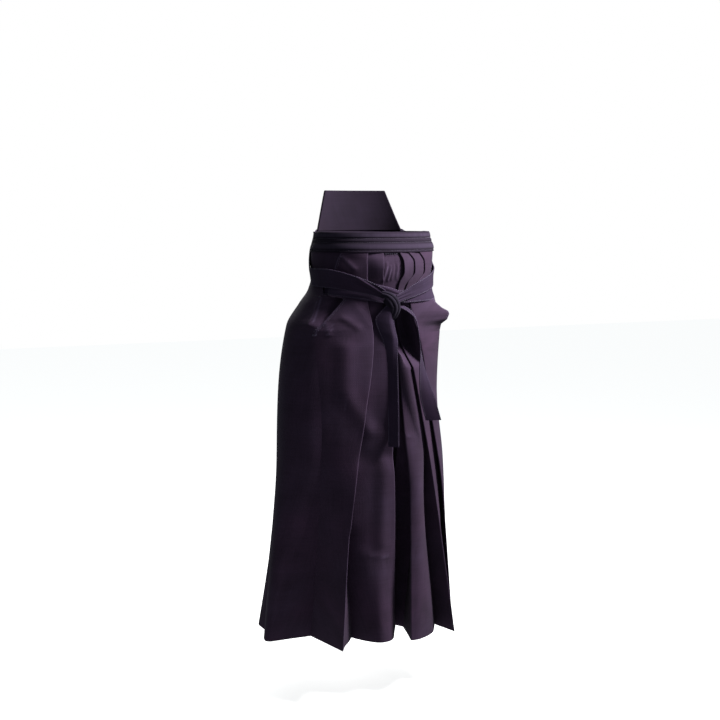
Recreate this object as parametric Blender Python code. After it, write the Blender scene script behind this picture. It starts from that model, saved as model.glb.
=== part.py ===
"""Divided, pleated hakama trousers, worn and hollow.

Every cloth piece is a thin wall through level sections. A section starts at the garment's centre seam
and runs outward to the side seam; at each knife pleat it turns back on itself. Frame: metres, +Z up,
origin at the middle of the waist on the top edge of the front waistband, the wearer faces -Y and
the wearer's left is +X. The tables are in millimetres and degrees.
"""
import math

import bpy
import numpy as np

MM = 0.001
CLOTH = 1.2          # wall of a single cloth
TIE_CLOTH = 1.6      # a tie is a folded strip
BAND_CLOTH = 3.0     # the waistbands hold several folded layers
BOARD = 5.0          # stiff board covered with cloth
SEAM_GAP = 0.3       # clear space between two pieces at a seam
BEND_RADIUS = 0.4    # how far a folded layer stays from the point of a closed fold

# The outline of the worn garment: half widths and half depths from the waist's axis at each height.
OUTLINE_COLUMNS = ("height", "right", "left", "front", "back")
OUTLINE = (
    (100, 126, 124, 95, 104),
    (0, 128, 128, 97, 98),
    (-40, 136, 138, 105, 101),
    (-76, 136, 132, 113, 106),
    (-98, 134, 128, 111, 112),
    (-124, 140, 131, 107, 122),
    (-153, 160, 143, 108, 134),
    (-200, 190, 149, 113, 146),
    (-330, 209, 147, 116, 155),
    (-500, 216, 163, 115, 165),
    (-670, 235, 176, 113, 178),
    (-880, 262, 199, 110, 195),
)
ROUNDNESS_WAIST = 2.0   # 2 is an ellipse, more is squarer
ROUNDNESS_HEM = 2.3
HEM = -880
SLIT_BOTTOM = -215      # the side slits end here
SLIT_OPENING = 35       # and stand fully open this much higher
CROTCH = -400           # the legs part here
LEG_SPREAD = 10         # half the gap between the two inner legs at the hem
SPREAD_REACH = 30       # the gap opens over about this height

# Heights of the stations where the fold tables give their values, top to hem.
STATIONS = (-40, -62, -85, -108, -150, -180, -215, -400, -560, -880)
LAYER = (1.8, 2.0, 2.1, 2.3, 2.5, 2.7, 3.0, 3.5, 4.0, 5.0)    # spacing of the layers in a closed pleat

# Centre seams, x and y.
FRONT_CENTRE_X = (0, 0, 0, 0, 0, 0, 2, 6, 18, 48)
FRONT_CENTRE_Y = (-101, -106, -108, -105, -103, -105, -107, -100, -50, 26)
BACK_CENTRE_X = (0, 0, 0, 0, 0, 0, 0, 4, 12, 30)
BACK_CENTRE_Y = (97, 99, 103, 111, 127, 134, 140, 150, 146, 125)

# One row for each fold, from the centre seam to the side: its kind, its place across (x on the front,
# degrees from centre back on the back), how far it lies inside the outline, and the outward bow of the
# cloth between it and the next row.
FOLD_COLUMNS = ("name", "kind", "across", "inside", "bow")
NO_BOW = (0, 0, 0, 0, 0, 0, 0, 0, 0, 0)
FLAT = NO_BOW
FRONT_RIGHT_FOLDS = (
    ("valley_b", "valley", (-44, -45, -45, -46, -48, -50, -50, -36, -20, 58),
     (0, 0, 0, 0, 0, 0, 0, 4, 16, 98), NO_BOW),
    ("crease_b", "crease", (-25, -29, -30, -28, -28, -30, -27, -12, -1, 27),
     (0, 0, 0, 0, 0, 0, 0, 0, 4, 53), (0, 0, 0, 0, 0, 0, 0, 0, 4, 52)),
    ("valley_a", "valley", (-84, -86, -86, -84, -84, -82, -80, -95, -106, -65),
     (0, 0, 0, 0, 0, 0, 0, 4, 16, 70), NO_BOW),
    ("crease_a", "crease", (-57, -61, -61, -60, -60, -57, -54, -75, -94, -124),
     (0, 0, 0, 0, 0, 0, 0, 0, 0, -16), NO_BOW),
)
FRONT_LEFT_FOLDS = (
    ("valley_c", "valley", (28, 41, 41, 24, 18, 18, 22, 42, 60, 74),
     (0, 0, 0, 0, 0, 0, 0, 4, 16, 84), NO_BOW),
    ("crease_c", "crease", (12, 20, 20, 10, 6, 3, 4, 19, 38, 43), FLAT, (0, 0, 0, 0, 0, 0, 0, 4, 18, 20)),
    ("valley_d", "valley", (52, 72, 72, 50, 36, 40, 50, 84, 92, 147),
     (0, 0, 0, 0, 0, 0, 0, 4, 30, 52), NO_BOW),
    ("crease_d", "crease", (34, 50, 50, 32, 22, 24, 29, 71, 106, 160),
     (0, 0, 0, 0, 0, 0, 0, 0, 0, -22), NO_BOW),
    ("valley_e", "valley", (82, 98, 99, 78, 60, 66, 80, 114, 137, 164),
     (0, 0, 0, 0, 0, 0, 0, 7, 19, 38), NO_BOW),
    ("crease_e", "crease", (64, 81, 82, 58, 40, 46, 60, 104, 130, 172), FLAT, NO_BOW),
)
BACK_RIGHT_FOLDS = (
    ("valley", "valley", (24, 23.5, 23, 22.3, 21, 20, 20, 20, 22, 26),
     (0, 0, 0, 0, 0, 0, 0, 0, 4, 24), NO_BOW),
    ("crease", "crease", (8, 8, 8, 8, 8, 8, 8, 9, 11, 14),
     (0, 0, 0, 0, 0, 0, 0, 0, 0, -5), NO_BOW),
    ("rear_ridge", "bend", (50, 50, 50, 50, 50, 50, 50, 50, 51, 53),
     (0, 0, 0, 0, 0, 0, 0, 0, -4, -20), NO_BOW),
    ("side_trough", "bend", (66, 66, 66, 66.4, 68, 70, 72, 72, 70, 66),
     (0, 0, 0, 0, 0, 0, 0, 2, 8, 25), NO_BOW),
    ("side_ridge", "bend", (78, 84.4, 90, 94, 98, 98, 96, 96, 92, 86),
     (0, 0, 0, 0, 0, 0, 0, -2, 2, 18), NO_BOW),
)
BACK_LEFT_FOLDS = (
    ("valley", "valley", (24, 23.5, 23, 22.3, 21, 20, 20, 20, 22, 26),
     (0, 0, 0, 0, 0, 0, 0, 0, 4, 24), NO_BOW),
    ("crease", "crease", (8, 8, 8, 8, 8, 8, 8, 9, 11, 14),
     (0, 0, 0, 0, 0, 0, 0, 0, 0, -5), NO_BOW),
    ("rear_ridge", "bend", (46, 46, 46, 46, 46, 46, 46, 46, 44, 40),
     (0, 0, 0, 0, 0, 0, 0, 0, -3, -12), NO_BOW),
    ("side_trough", "bend", (62, 62, 62, 62, 62, 62, 62, 62, 60, 56),
     (0, 0, 0, 0, 0, 0, 0, 2, 6, 14), NO_BOW),
    ("side_ridge", "bend", (78, 84.6, 90, 93, 96, 96, 94, 90, 84, 78),
     (0, 0, 0, 0, 0, 0, 0, 0, -2, -4), NO_BOW),
)

# Side seams, on the front panel's measure; above the slit's bottom they are the front's free edges.
RIGHT_EDGE_X = (-104, -113, -117, -109, -108, -132, -165, -153, -148, -140)
RIGHT_EDGE_IN = (0, 0, 0, 0, 0, 0, 0, 12, 38, 116)
LEFT_EDGE_X = (118, 115, 112, 107, 106, 140, 136, 136, 150, 185)
LEFT_EDGE_IN = (0, 0, 0, 0, 0, -44, -8, 8, 20, 75)
# The back panels' free edges above the slit's bottom, in degrees from centre back.
BACK_EDGE_RIGHT = (86, 94, 100, 102, 110, 111, 110, 110, 110, 110)
BACK_EDGE_LEFT = (86, 94, 102, 106, 110, 112, 112, 112, 112, 112)

LEVELS = (-40.6, -52, -64, -78, -92, -108, -128, -150, -180, -215, -270, -335, -400, -400.3, -412, -450, -500,
          -560, -640, -720, -800, HEM)
FACE_POINTS = 4      # points on the visible cloth between two folds
RETURN_POINTS = 2    # points on the hidden layer of a pleat

# The waistbands: angles are degrees from centre front; heights and insides make the two stitched rolls.
FRONT_BAND_HALF = 67
BAND_PROFILE_COLUMNS = ("height", "inside")
FRONT_BAND_PROFILE = ((-40, -0.2), (-37, -0.6), (-29, -1.6), (-22, -1.0), (-20, 0.5), (-18, -0.7),
                      (-9, -1.1), (-3, -0.7), (0, -0.3))
BACK_BAND_HALF = 86     # from centre back
BACK_BAND_PROFILE = ((-40, -0.3), (-30, -0.5), (-10, -0.5), (-0.6, -0.3))
BOARD_HEIGHT = 88
BOARD_FOOT_HALF = 60    # half angle of the board at its foot and at its top
BOARD_TOP_HALF = 41

# Ties: one row for each place along a tie. Angle is degrees from centre front towards the left.
TIE_COLUMNS = ("angle", "height", "half_width", "inside")
FRONT_TIE_UPPER = ((67.35, -20, 17, 0.4), (90, -20, 17, 3.6), (180, -20, 17, 3.6), (270, -20, 17, 3.6),
                   (292.65, -20, 17, 0.4))
FRONT_TIE_LOW = ((-100, -112, 18, 5.0), (-72, -112, 19, 4.8), (-66, -113, 19, -3.6), (-30, -123, 19, -3.6),
                 (-8, -132, 18, -3.6), (8, -135, 13, -3.6), (30, -131, 16, -3.6), (63.5, -126, 19, -3.6),
                 (70, -124, 19, 4.8), (100, -120, 18, 5.0))
BACK_TIE_RIGHT = ((-119, -20, 17, -4.6), (-100, -42, 18, -5.0), (-84, -78, 19, -4.6), (-69, -93, 19, -6.9),
                  (-40, -108, 17, -6.9), (-25, -118, 13, -7.0), (-13.2, -130, 10, -9.0))
BACK_TIE_LEFT = ((0.1, -140, 9, -9.0), (12, -131, 11, -7.2), (30, -118, 15, -6.9), (66, -98, 18, -6.9),
                 (80, -86, 19, -4.6), (100, -50, 18, -5.4), (119, -20, 17, -5.0))
TIE_CURL = 0.9          # how much nearer the body a tie's two long edges lie

# The knot: a rounded core with one strand over it, leaning from the upper right to the lower left
# side of the wearer.
KNOT_CENTRE = (-14, -118.8, -146)
KNOT_LEAN = 33
KNOT_HALF = (12.5, 7.0, 14.0)     # along the strand's width, outward, along the strand
STRAND_WIDTH = 17
STRAND_CLOTH = 2.4
STRAND_REACH = 98                 # half the angle that the strand covers, over the front

# The hanging ends: x, y and height of the middle line, half width, turn of the width about the
# vertical (0 faces front), and how far the middle stands out as a lengthwise fold.
TAIL_COLUMNS = ("x", "y", "height", "half_width", "turn", "fold")
TAIL_LONG = ((-15, -116.5, -166.2, 8, 0, 2.0), (-13, -124, -200, 11, 4, 4.0), (-12, -126, -270, 13, 6, 5.0),
             (-10, -126, -360, 13, 8, 4.5), (-7, -125, -462, 12, 8, 3.0))
TAIL_SHORT = ((7.6, -120.5, -157, 7, 15, 0.5), (22, -126, -165, 9, 35, 0.5), (36, -130, -186, 9, 58, 0.5),
              (43, -132, -230, 9, 62, 0.5), (50, -131, -285, 12, 45, 0.5), (60, -129, -325, 15, 20, 0.5),
              (69, -127, -355, 17, 8, 0.5), (86, -124, -412, 17, 2, 0.5))

GUSSET_HALF = 4.6       # half width of the gusset between the inner legs
GUSSET_RISE = 3.0


def through(places, values, wanted):
    """Monotone cubic through the points (places, values), read at wanted."""
    places = np.asarray(places, float)
    values = np.asarray(values, float)
    if places[0] > places[-1]:
        places = places[::-1]
        values = values[::-1]
    step = np.diff(places)
    slope = np.diff(values) / step
    tangent = np.empty_like(values)
    tangent[0] = slope[0]
    tangent[-1] = slope[-1]
    product = slope[:-1] * slope[1:]
    total = slope[:-1] + slope[1:]
    safe = np.where(product > 0, total, 1.0)
    tangent[1:-1] = np.where(product > 0, 2.0 * product / safe, 0.0)
    wanted = np.clip(wanted, places[0], places[-1])
    index = np.clip(np.searchsorted(places, wanted, side="right") - 1, 0, len(step) - 1)
    width = step[index]
    part = (wanted - places[index]) / width
    rise = values[index] * (1 + 2 * part) * (1 - part) ** 2
    rise = rise + width * tangent[index] * part * (1 - part) ** 2
    rise = rise + values[index + 1] * part ** 2 * (3 - 2 * part)
    return rise + width * tangent[index + 1] * part ** 2 * (part - 1)


def station(values, height):
    """A fold table's value at any height."""
    return through(STATIONS, values, height)


def outline(name, height):
    """One half measure of the garment's outline at any height."""
    column = OUTLINE_COLUMNS.index(name)
    heights = [row[0] for row in OUTLINE]
    return through(heights, [row[column] for row in OUTLINE], height)


def roundness(height):
    """How square the outline is at any height."""
    part = np.clip(height / HEM, 0.0, 1.0)
    return ROUNDNESS_WAIST + (ROUNDNESS_HEM - ROUNDNESS_WAIST) * part


def front_depth(across, height):
    """How far forward the outline lies at x = across."""
    half = np.where(across < 0, outline("right", height), outline("left", height))
    power = roundness(height)
    share = np.clip(np.abs(across) / half, 0.0, 0.999)
    return outline("front", height) * (1.0 - share ** power) ** (1.0 / power)


def radius(angle, height):
    """Distance of the outline from the waist's axis, at degrees from centre front towards the left."""
    sine = np.sin(np.radians(angle))
    cosine = np.cos(np.radians(angle))
    side = np.where(sine < 0, outline("right", height), outline("left", height))
    depth = np.where(cosine > 0, outline("front", height), outline("back", height))
    power = roundness(height)
    total = (np.abs(sine) / side) ** power + (np.abs(cosine) / depth) ** power
    return total ** (-1.0 / power)


def around(angle, inside, height):
    """x and y at degrees from centre front towards the wearer's left, inside the outline."""
    reach = radius(angle, height) - inside
    turn = np.radians(angle)
    return np.stack((reach * np.sin(turn), -reach * np.cos(turn)), axis=-1)


def front_lean(across, height):
    """How much longer a layer's spacing is along y than square to the sloping outline of the front."""
    slope = (front_depth(across + 1.0, height) - front_depth(across - 1.0, height)) / 2.0
    return np.sqrt(1.0 + slope ** 2)


def back_lean(across, height):
    """The spacing on the back is already square to the outline."""
    return np.ones_like(across + height)


def front_place(across, inside, height):
    """x and y of a point of a front panel."""
    across = across + 0.0 * height
    return np.stack((across, inside - front_depth(across, height)), axis=-1)


def front_measure(point, height):
    """The across and inside values of an x and y on a front panel."""
    return point[..., 0], point[..., 1] + front_depth(point[..., 0], height)


def back_place_right(across, inside, height):
    """x and y of a point of the right back panel, from degrees off centre back."""
    return around(180.0 + across, inside, height)


def back_place_left(across, inside, height):
    """x and y of a point of the left back panel, from degrees off centre back."""
    return around(180.0 - across, inside, height)


def back_measure(side):
    """The function that gives the across and inside values of an x and y on a back panel."""
    def measure(point, height):
        across = np.degrees(np.arctan2(side * point[..., 0], point[..., 1]))
        reach = np.hypot(point[..., 0], point[..., 1])
        return across, radius(180.0 - side * across, height) - reach
    return measure


def unit(vector):
    """The vector with length one."""
    return vector / np.maximum(np.linalg.norm(vector, axis=-1, keepdims=True), 1e-9)


def leg_spread(height):
    """How far each inner leg stands off the middle below the crotch."""
    return LEG_SPREAD * (1.0 - np.exp(-np.maximum(CROTCH - height, 0.0) / SPREAD_REACH))


def centre_seam(table_x, table_y, side, height):
    """x and y of a centre seam, which parts into the two inner legs below the crotch."""
    across = station(table_x, height) + side * leg_spread(height)
    return np.stack((across, station(table_y, height)), axis=-1)


def side_seam(side, height):
    """x and y of a side seam, and of the front panel's free edge above the slit's bottom."""
    if side < 0:
        return front_place(station(RIGHT_EDGE_X, height), station(RIGHT_EDGE_IN, height), height)
    return front_place(station(LEFT_EDGE_X, height), station(LEFT_EDGE_IN, height), height)


def back_edge(side, height):
    """x and y of a back panel's outer edge: free above the slit's bottom, the side seam below it."""
    table = BACK_EDGE_RIGHT if side < 0 else BACK_EDGE_LEFT
    free = around(180.0 - side * station(table, height), 0.0, height)
    seam = side_seam(side, height)
    slit = np.clip((height - SLIT_BOTTOM) / SLIT_OPENING, 0.0, 1.0)[:, None]
    return seam + (free - seam) * slit


def run_inside(start, end, crossing, under, part):
    """How far inside the outline a run lies at a share of its way.

    The run is straight from start to end, but where it passes below the next fold, at the share
    crossing, it lies at least as deep as under.
    """
    straight = start + (end - start) * part
    share = np.clip(crossing, 0.02, 0.98)
    deep = np.maximum(under, start + (end - start) * share)
    before = start + (deep - start) * part / share
    after = deep + (end - deep) * (part - share) / (1.0 - share)
    return np.where(crossing < 0.98, np.where(part < share, before, after), straight)


def fold_rows(folds, lean, first, last, height):
    """Kind, across and inside of each fold at every level, in a closed pleat's three layers.

    A fold lies half a layer inside its own face. Its valley lies one and a half layers inside the
    face above it, which itself sinks by two layers on its way below the next fold.
    """
    rows = [("seam",) + tuple(first)]
    places = [station(fold[2], height) for fold in folds]
    for index, (_, kind, _, inside, _) in enumerate(folds):
        layer = station(LAYER, height) * lean(places[index], height)
        sunk = 0.5 * layer if kind == "crease" else 0.0 * layer
        if kind == "valley":
            sunk = 1.5 * layer
            if index + 3 < len(folds) and folds[index + 3][1] == "crease":
                share = (places[index] - places[index + 1]) / (places[index + 3] - places[index + 1])
                sunk = sunk + 2.0 * layer * np.clip(share, 0.0, 1.0)
        rows.append((kind, places[index], station(inside, height) + sunk))
    rows.append(("seam",) + tuple(last))
    return rows


def fold_state(rows, index, place, height):
    """How far a fold is closed flat along the outline, from 0 to 1, and the room that its bend needs."""
    if rows[index][0] in ("seam", "bend"):
        return np.zeros_like(height), np.zeros_like(height)
    before, after = fold_directions(rows, index, place, height)
    spread = np.linalg.norm(before - after, axis=-1)
    here = place(rows[index][1], rows[index][2], height)
    deeper = unit(place(rows[index][1], rows[index][2] + 1.0, height) - here)
    standing = (unit(before + after) * deeper).sum(axis=-1)
    lying = np.clip(1.5 * np.sqrt(np.clip(1.0 - standing ** 2, 0.0, 1.0)), 0.0, 1.0)
    closed = np.clip(1.6 - 1.2 * spread, 0.0, 1.0) * lying
    open_room = np.clip(2.3 / np.maximum(spread, 0.01), 1.5, 9.0)
    return closed, BEND_RADIUS + (open_room - BEND_RADIUS) * (1.0 - closed)


def panel_section(folds, place, lean, measure, first, last, height, face_points, return_points):
    """Centre line of one panel at every level, from the centre seam to the side."""
    rows = fold_rows(folds, lean, measure(first, height), measure(last, height), height)
    bows = [np.zeros_like(height)] + [station(fold[4], height) for fold in folds]
    layers = [station(LAYER, height) * lean(row[1], height) for row in rows]
    closed, rooms = zip(*[fold_state(rows, index, place, height) for index in range(len(rows))])
    points = []
    for index in range(len(rows) - 1):
        start, end = rows[index], rows[index + 1]
        start_in = start[2] - 0.5 * layers[index] * closed[index]
        end_in = end[2] + 0.5 * layers[index + 1] * closed[index + 1]
        crossing = np.ones_like(height)
        under = np.zeros_like(height)
        if end[0] == "valley":
            cover = rows[index + 2]
            crossing = (cover[1] - start[1]) / (end[1] - start[1])
            under = cover[2] + 1.5 * layers[index + 2]
        count = return_points if start[0] == "valley" else face_points
        samples = []
        for share in np.linspace(0.0, 1.0, count + 2):
            across = start[1] + (end[1] - start[1]) * share
            inside = run_inside(start_in, end_in, crossing, under, share)
            samples.append(place(across, inside - bows[index] * 4.0 * share * (1.0 - share), height))
        samples = np.stack(samples, axis=1)
        points.append(pull_ends(samples, rooms[index], rooms[index + 1]))
        if end[0] in ("crease", "valley"):
            before, after = fold_directions(rows, index + 1, place, height)
            tip = place(end[1], end[2], height)
            tip = tip - unit(before + after) * (0.5 * station(LAYER, height) * closed[index + 1])[:, None]
            points.append(tip[:, None, :])
    return join_runs(points)


def fold_directions(rows, index, place, height):
    """Directions in plan in which the cloth leaves a fold, towards the row before and the row after."""
    here = place(rows[index][1], rows[index][2], height)
    before = place(*blend(rows[index], rows[index - 1], 0.25), height)
    after = place(*blend(rows[index], rows[index + 1], 0.25), height)
    return unit(before - here), unit(after - here)


def blend(row, other, share):
    """Across and inside a share of the way from one row to another."""
    return row[1] + (other[1] - row[1]) * share, row[2] + (other[2] - row[2]) * share


def pull_ends(samples, start_room, end_room):
    """Draw a run's ends back from its folds, so that the fold's point can be rounded."""
    start_pull = unit(samples[:, 1] - samples[:, 0]) * start_room[:, None]
    end_pull = unit(samples[:, -2] - samples[:, -1]) * end_room[:, None]
    samples = samples.copy()
    samples[:, 0] += start_pull
    samples[:, -1] += end_pull
    return samples


def join_runs(runs):
    """One line from runs that meet; a bend's point, which two runs share, is kept once."""
    joined = [runs[0]]
    for run in runs[1:]:
        same = np.abs(run[:, 0] - joined[-1][:, -1]).max() < 1e-9
        joined.append(run[:, 1:] if same else run)
    return np.concatenate(joined, axis=1)


def trim_end(line, other, last):
    """Cut a line's end back from its neighbour's, far enough for the two walls to clear each other."""
    end, inner = (line[:, -1], line[:, -2]) if last else (line[:, 0], line[:, 1])
    own = unit(inner - end)
    cosine = np.clip(-(own * unit(other - end)).sum(axis=-1), -0.9, 1.0)
    half_turn = 0.5 * np.arccos(cosine)
    cut = 0.5 * SEAM_GAP + 0.5 * CLOTH * np.tan(half_turn)
    line = line.copy()
    line[:, -1 if last else 0] = end + own * cut[:, None]
    return line


def cloth_lines(height, face_points, return_points):
    """Centre lines of the four panels and the two gores at each height, seams cut apart."""
    lines = {}
    for name, folds, side in (("front_right", FRONT_RIGHT_FOLDS, -1), ("front_left", FRONT_LEFT_FOLDS, 1)):
        lines[name] = panel_section(
            folds, front_place, front_lean, front_measure, centre_seam(FRONT_CENTRE_X, FRONT_CENTRE_Y, side, height),
            side_seam(side, height), height, face_points, return_points)
    for name, folds, side in (("back_right", BACK_RIGHT_FOLDS, -1), ("back_left", BACK_LEFT_FOLDS, 1)):
        place = back_place_right if side < 0 else back_place_left
        lines[name] = panel_section(
            folds, place, back_lean, back_measure(side), centre_seam(BACK_CENTRE_X, BACK_CENTRE_Y, side, height),
            back_edge(side, height), height, face_points, return_points)
    shares = np.linspace(0.0, 1.0, 2 * face_points)[None, :, None]
    for name in ("right", "left"):
        start = lines["front_" + name][:, :1]
        end = lines["back_" + name][:, :1]
        lines["gore_" + name] = start + (end - start) * shares
    return cut_apart(lines, height)


def cut_apart(lines, height):
    """Leave the seam gap between neighbours: side seams, centre seams and inner legs."""
    legs = (height < CROTCH - 1.0)[:, None]
    cut = dict(lines)
    for name, other in (("right", "left"), ("left", "right")):
        for part in ("front_", "back_"):
            gore = lines["gore_" + name][:, 1 if part == "front_" else -2]
            across = lines[part + other][:, 1]
            neighbour = np.where(legs, gore, across)
            cut[part + name] = trim_end(cut[part + name], neighbour, last=False)
        joined = (height <= SLIT_BOTTOM + 1.0)[:, None]
        for part, opposite in (("front_", "back_"), ("back_", "front_")):
            trimmed = trim_end(cut[part + name], lines[opposite + name][:, -2], last=True)
            cut[part + name][:, -1] = np.where(joined, trimmed[:, -1], cut[part + name][:, -1])
        gore = trim_end(cut["gore_" + name], lines["front_" + name][:, 1], last=False)
        cut["gore_" + name] = trim_end(gore, lines["back_" + name][:, 1], last=True)
    return cut


def with_height(line, height):
    """Points in space from a line in plan at each level."""
    tall = np.broadcast_to(height[:, None, None], line.shape[:2] + (1,))
    return np.concatenate((line, tall), axis=-1)


def new_object(name, points, faces, material):
    """A mesh object from points in millimetres."""
    mesh = bpy.data.meshes.new(name)
    mesh.from_pydata((np.asarray(points) * MM).tolist(), [], faces)
    mesh.update()
    obj = bpy.data.objects.new(name, mesh)
    bpy.context.scene.collection.objects.link(obj)
    mesh.materials.append(material)
    mesh.shade_smooth()
    mesh.set_sharp_from_angle(angle=math.radians(40))
    return obj


def grid_faces(rows, columns, closed=False):
    """Quads of a grid of rows and columns of points; closed joins the last column to the first."""
    faces = []
    for row in range(rows - 1):
        for column in range(columns if closed else columns - 1):
            after = (column + 1) % columns
            faces.append((row * columns + column, row * columns + after,
                          (row + 1) * columns + after, (row + 1) * columns + column))
    return faces


def cloth_wall(name, grid, thickness, material, closed=False):
    """A wall of even thickness on a grid of points, half to each side."""
    rows, columns = grid.shape[:2]
    obj = new_object(name, grid.reshape(-1, 3), grid_faces(rows, columns, closed), material)
    wall = obj.modifiers.new("wall", "SOLIDIFY")
    wall.thickness = thickness * MM
    wall.offset = 0.0
    wall.use_even_offset = False
    return obj


def cloth_material(name, colour, roughness):
    """A plain woven cloth."""
    material = bpy.data.materials.new(name)
    material.use_nodes = True
    shader = material.node_tree.nodes["Principled BSDF"]
    shader.inputs["Base Color"].default_value = colour + (1.0,)
    shader.inputs["Roughness"].default_value = roughness
    shader.inputs["Metallic"].default_value = 0.0
    return material


def build_panels(material):
    """The four pleated panels and the two inner-leg gores."""
    height = np.array(LEVELS, float)
    lines = cloth_lines(height, FACE_POINTS, RETURN_POINTS)
    hips = height > CROTCH - 0.1
    for name in ("front_right", "front_left", "back_right", "back_left"):
        cloth_wall(name + "_hip", with_height(lines[name][hips], height[hips]), CLOTH, material)
        cloth_wall(name + "_leg", with_height(lines[name][~hips], height[~hips]), CLOTH, material)
    legs = height < CROTCH - 1.0
    for name in ("gore_right", "gore_left"):
        cloth_wall(name, with_height(lines[name][legs], height[legs]), CLOTH, material)


def band(name, angles, profile, thickness, material):
    """A waistband: its profile's rolls carried round the outline between two angles."""
    heights = np.array([row[0] for row in profile], float)
    insides = np.array([row[1] for row in profile], float)
    plan = around(angles[None, :], insides[:, None], heights[:, None])
    return cloth_wall(name, with_height(plan, heights), thickness, material)


def build_bands(material, board_material):
    """The front and back waistbands and the stiff board that stands on the back one."""
    band("waistband", np.linspace(-FRONT_BAND_HALF, FRONT_BAND_HALF, 25), FRONT_BAND_PROFILE, BAND_CLOTH,
         material)
    band("back_band", np.linspace(180 - BACK_BAND_HALF, 180 + BACK_BAND_HALF, 23), BACK_BAND_PROFILE,
         BAND_CLOTH, material)
    rise = np.linspace(0.0, 1.0, 7)
    heights = BOARD_HEIGHT * rise
    half = BOARD_FOOT_HALF + (BOARD_TOP_HALF - BOARD_FOOT_HALF) * rise
    angles = 180.0 + half[:, None] * np.linspace(-1.0, 1.0, 15)[None, :]
    plan = around(angles, 0.0, heights[:, None])
    cloth_wall("back_board", with_height(plan, heights), BOARD, board_material)


def tie_grid(table, along, across):
    """Points of a tie that lies round the outline, its long edges curled towards the body."""
    columns = [np.array([row[place] for row in table], float) for place in range(len(TIE_COLUMNS))]
    share = np.linspace(0.0, 1.0, along)
    angle = columns[0][0] + (columns[0][-1] - columns[0][0]) * share
    height, half, inside = (through(columns[0], column, angle) for column in columns[1:])
    side = np.linspace(-1.0, 1.0, across)[:, None]
    heights = height[None, :] + half[None, :] * side
    plan = around(angle[None, :], inside[None, :] + TIE_CURL * side ** 4, heights)
    return np.concatenate((plan, heights[..., None]), axis=-1)


def tail_grid(table, along, across):
    """Points of a hanging tie end: a ribbon along its middle line, turned and lightly folded."""
    columns = [np.array([row[place] for row in table], float) for place in range(len(TAIL_COLUMNS))]
    rows = np.arange(len(table), dtype=float)
    share = np.linspace(0.0, len(table) - 1.0, along)
    x, y, height, half, turn, fold = (through(rows, column, share) for column in columns)
    side = np.linspace(-1.0, 1.0, across)[:, None]
    cosine = np.cos(np.radians(turn))
    sine = np.sin(np.radians(turn))
    out = fold * (1.0 - np.abs(side))
    points_x = x + half * side * cosine + out * sine
    points_y = y + half * side * sine - out * cosine
    return np.stack((points_x, points_y, np.broadcast_to(height, points_x.shape)), axis=-1)


def build_ties(material):
    """The front ties' two stretches, the back ties and the two hanging ends."""
    for name, table, along in (("front_tie_upper", FRONT_TIE_UPPER, 27), ("front_tie_low", FRONT_TIE_LOW, 33),
                               ("back_tie_right", BACK_TIE_RIGHT, 19), ("back_tie_left", BACK_TIE_LEFT, 19)):
        cloth_wall(name, tie_grid(table, along, 4), TIE_CLOTH, material)
    cloth_wall("tail_long", tail_grid(TAIL_LONG, 13, 5), TIE_CLOTH, material)
    cloth_wall("tail_short", tail_grid(TAIL_SHORT, 19, 5), TIE_CLOTH, material)


def knot_point(width, out, along):
    """A point in the knot's leaning frame."""
    lean = math.radians(KNOT_LEAN)
    x = KNOT_CENTRE[0] + width * math.cos(lean) - along * math.sin(lean)
    z = KNOT_CENTRE[2] + width * math.sin(lean) + along * math.cos(lean)
    return np.stack((x, KNOT_CENTRE[1] - out + 0.0 * x, z), axis=-1)


def build_knot(material):
    """The knot's core, a squared ball, and the strand that passes over its front."""
    turns, rings = 16, 9
    longitude = np.linspace(0.0, 2.0 * math.pi, turns, endpoint=False)[None, :]
    latitude = np.linspace(-math.pi / 2.0, math.pi / 2.0, rings)[1:-1, None]

    def squared(wave):
        return np.sign(wave) * np.abs(wave) ** 0.7

    width = KNOT_HALF[0] * squared(np.sin(latitude)) + 0.0 * longitude
    out = KNOT_HALF[1] * squared(np.cos(latitude)) * squared(np.cos(longitude))
    along = KNOT_HALF[2] * squared(np.cos(latitude)) * squared(np.sin(longitude))
    grid = knot_point(width, out, along)
    poles = knot_point(np.array([-KNOT_HALF[0], KNOT_HALF[0]]), np.zeros(2), np.zeros(2))
    points = np.concatenate((grid.reshape(-1, 3), poles))
    inner = rings - 2
    faces = [face[::-1] for face in grid_faces(inner, turns, closed=True)]
    first, last = inner * turns, inner * turns + 1
    faces += [(first, (turn + 1) % turns, turn)[::-1] for turn in range(turns)]
    top = (inner - 1) * turns
    faces += [(last, top + turn, top + (turn + 1) % turns)[::-1] for turn in range(turns)]
    new_object("knot_core", points, faces, material)
    angle = np.radians(np.linspace(-STRAND_REACH, STRAND_REACH, 17))[None, :]
    clear = 0.5 * STRAND_CLOTH + SEAM_GAP
    side = np.linspace(-0.5, 0.5, 4)[:, None]
    width = STRAND_WIDTH * side * (1.0 + 0.25 * np.sin(angle) ** 2)
    out = (KNOT_HALF[1] + clear) * squared(np.cos(angle)) + 0.0 * side
    along = (KNOT_HALF[2] + clear) * squared(np.sin(angle)) + 0.0 * side
    cloth_wall("knot_wrap", knot_point(width, out, along), STRAND_CLOTH, material)


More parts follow.
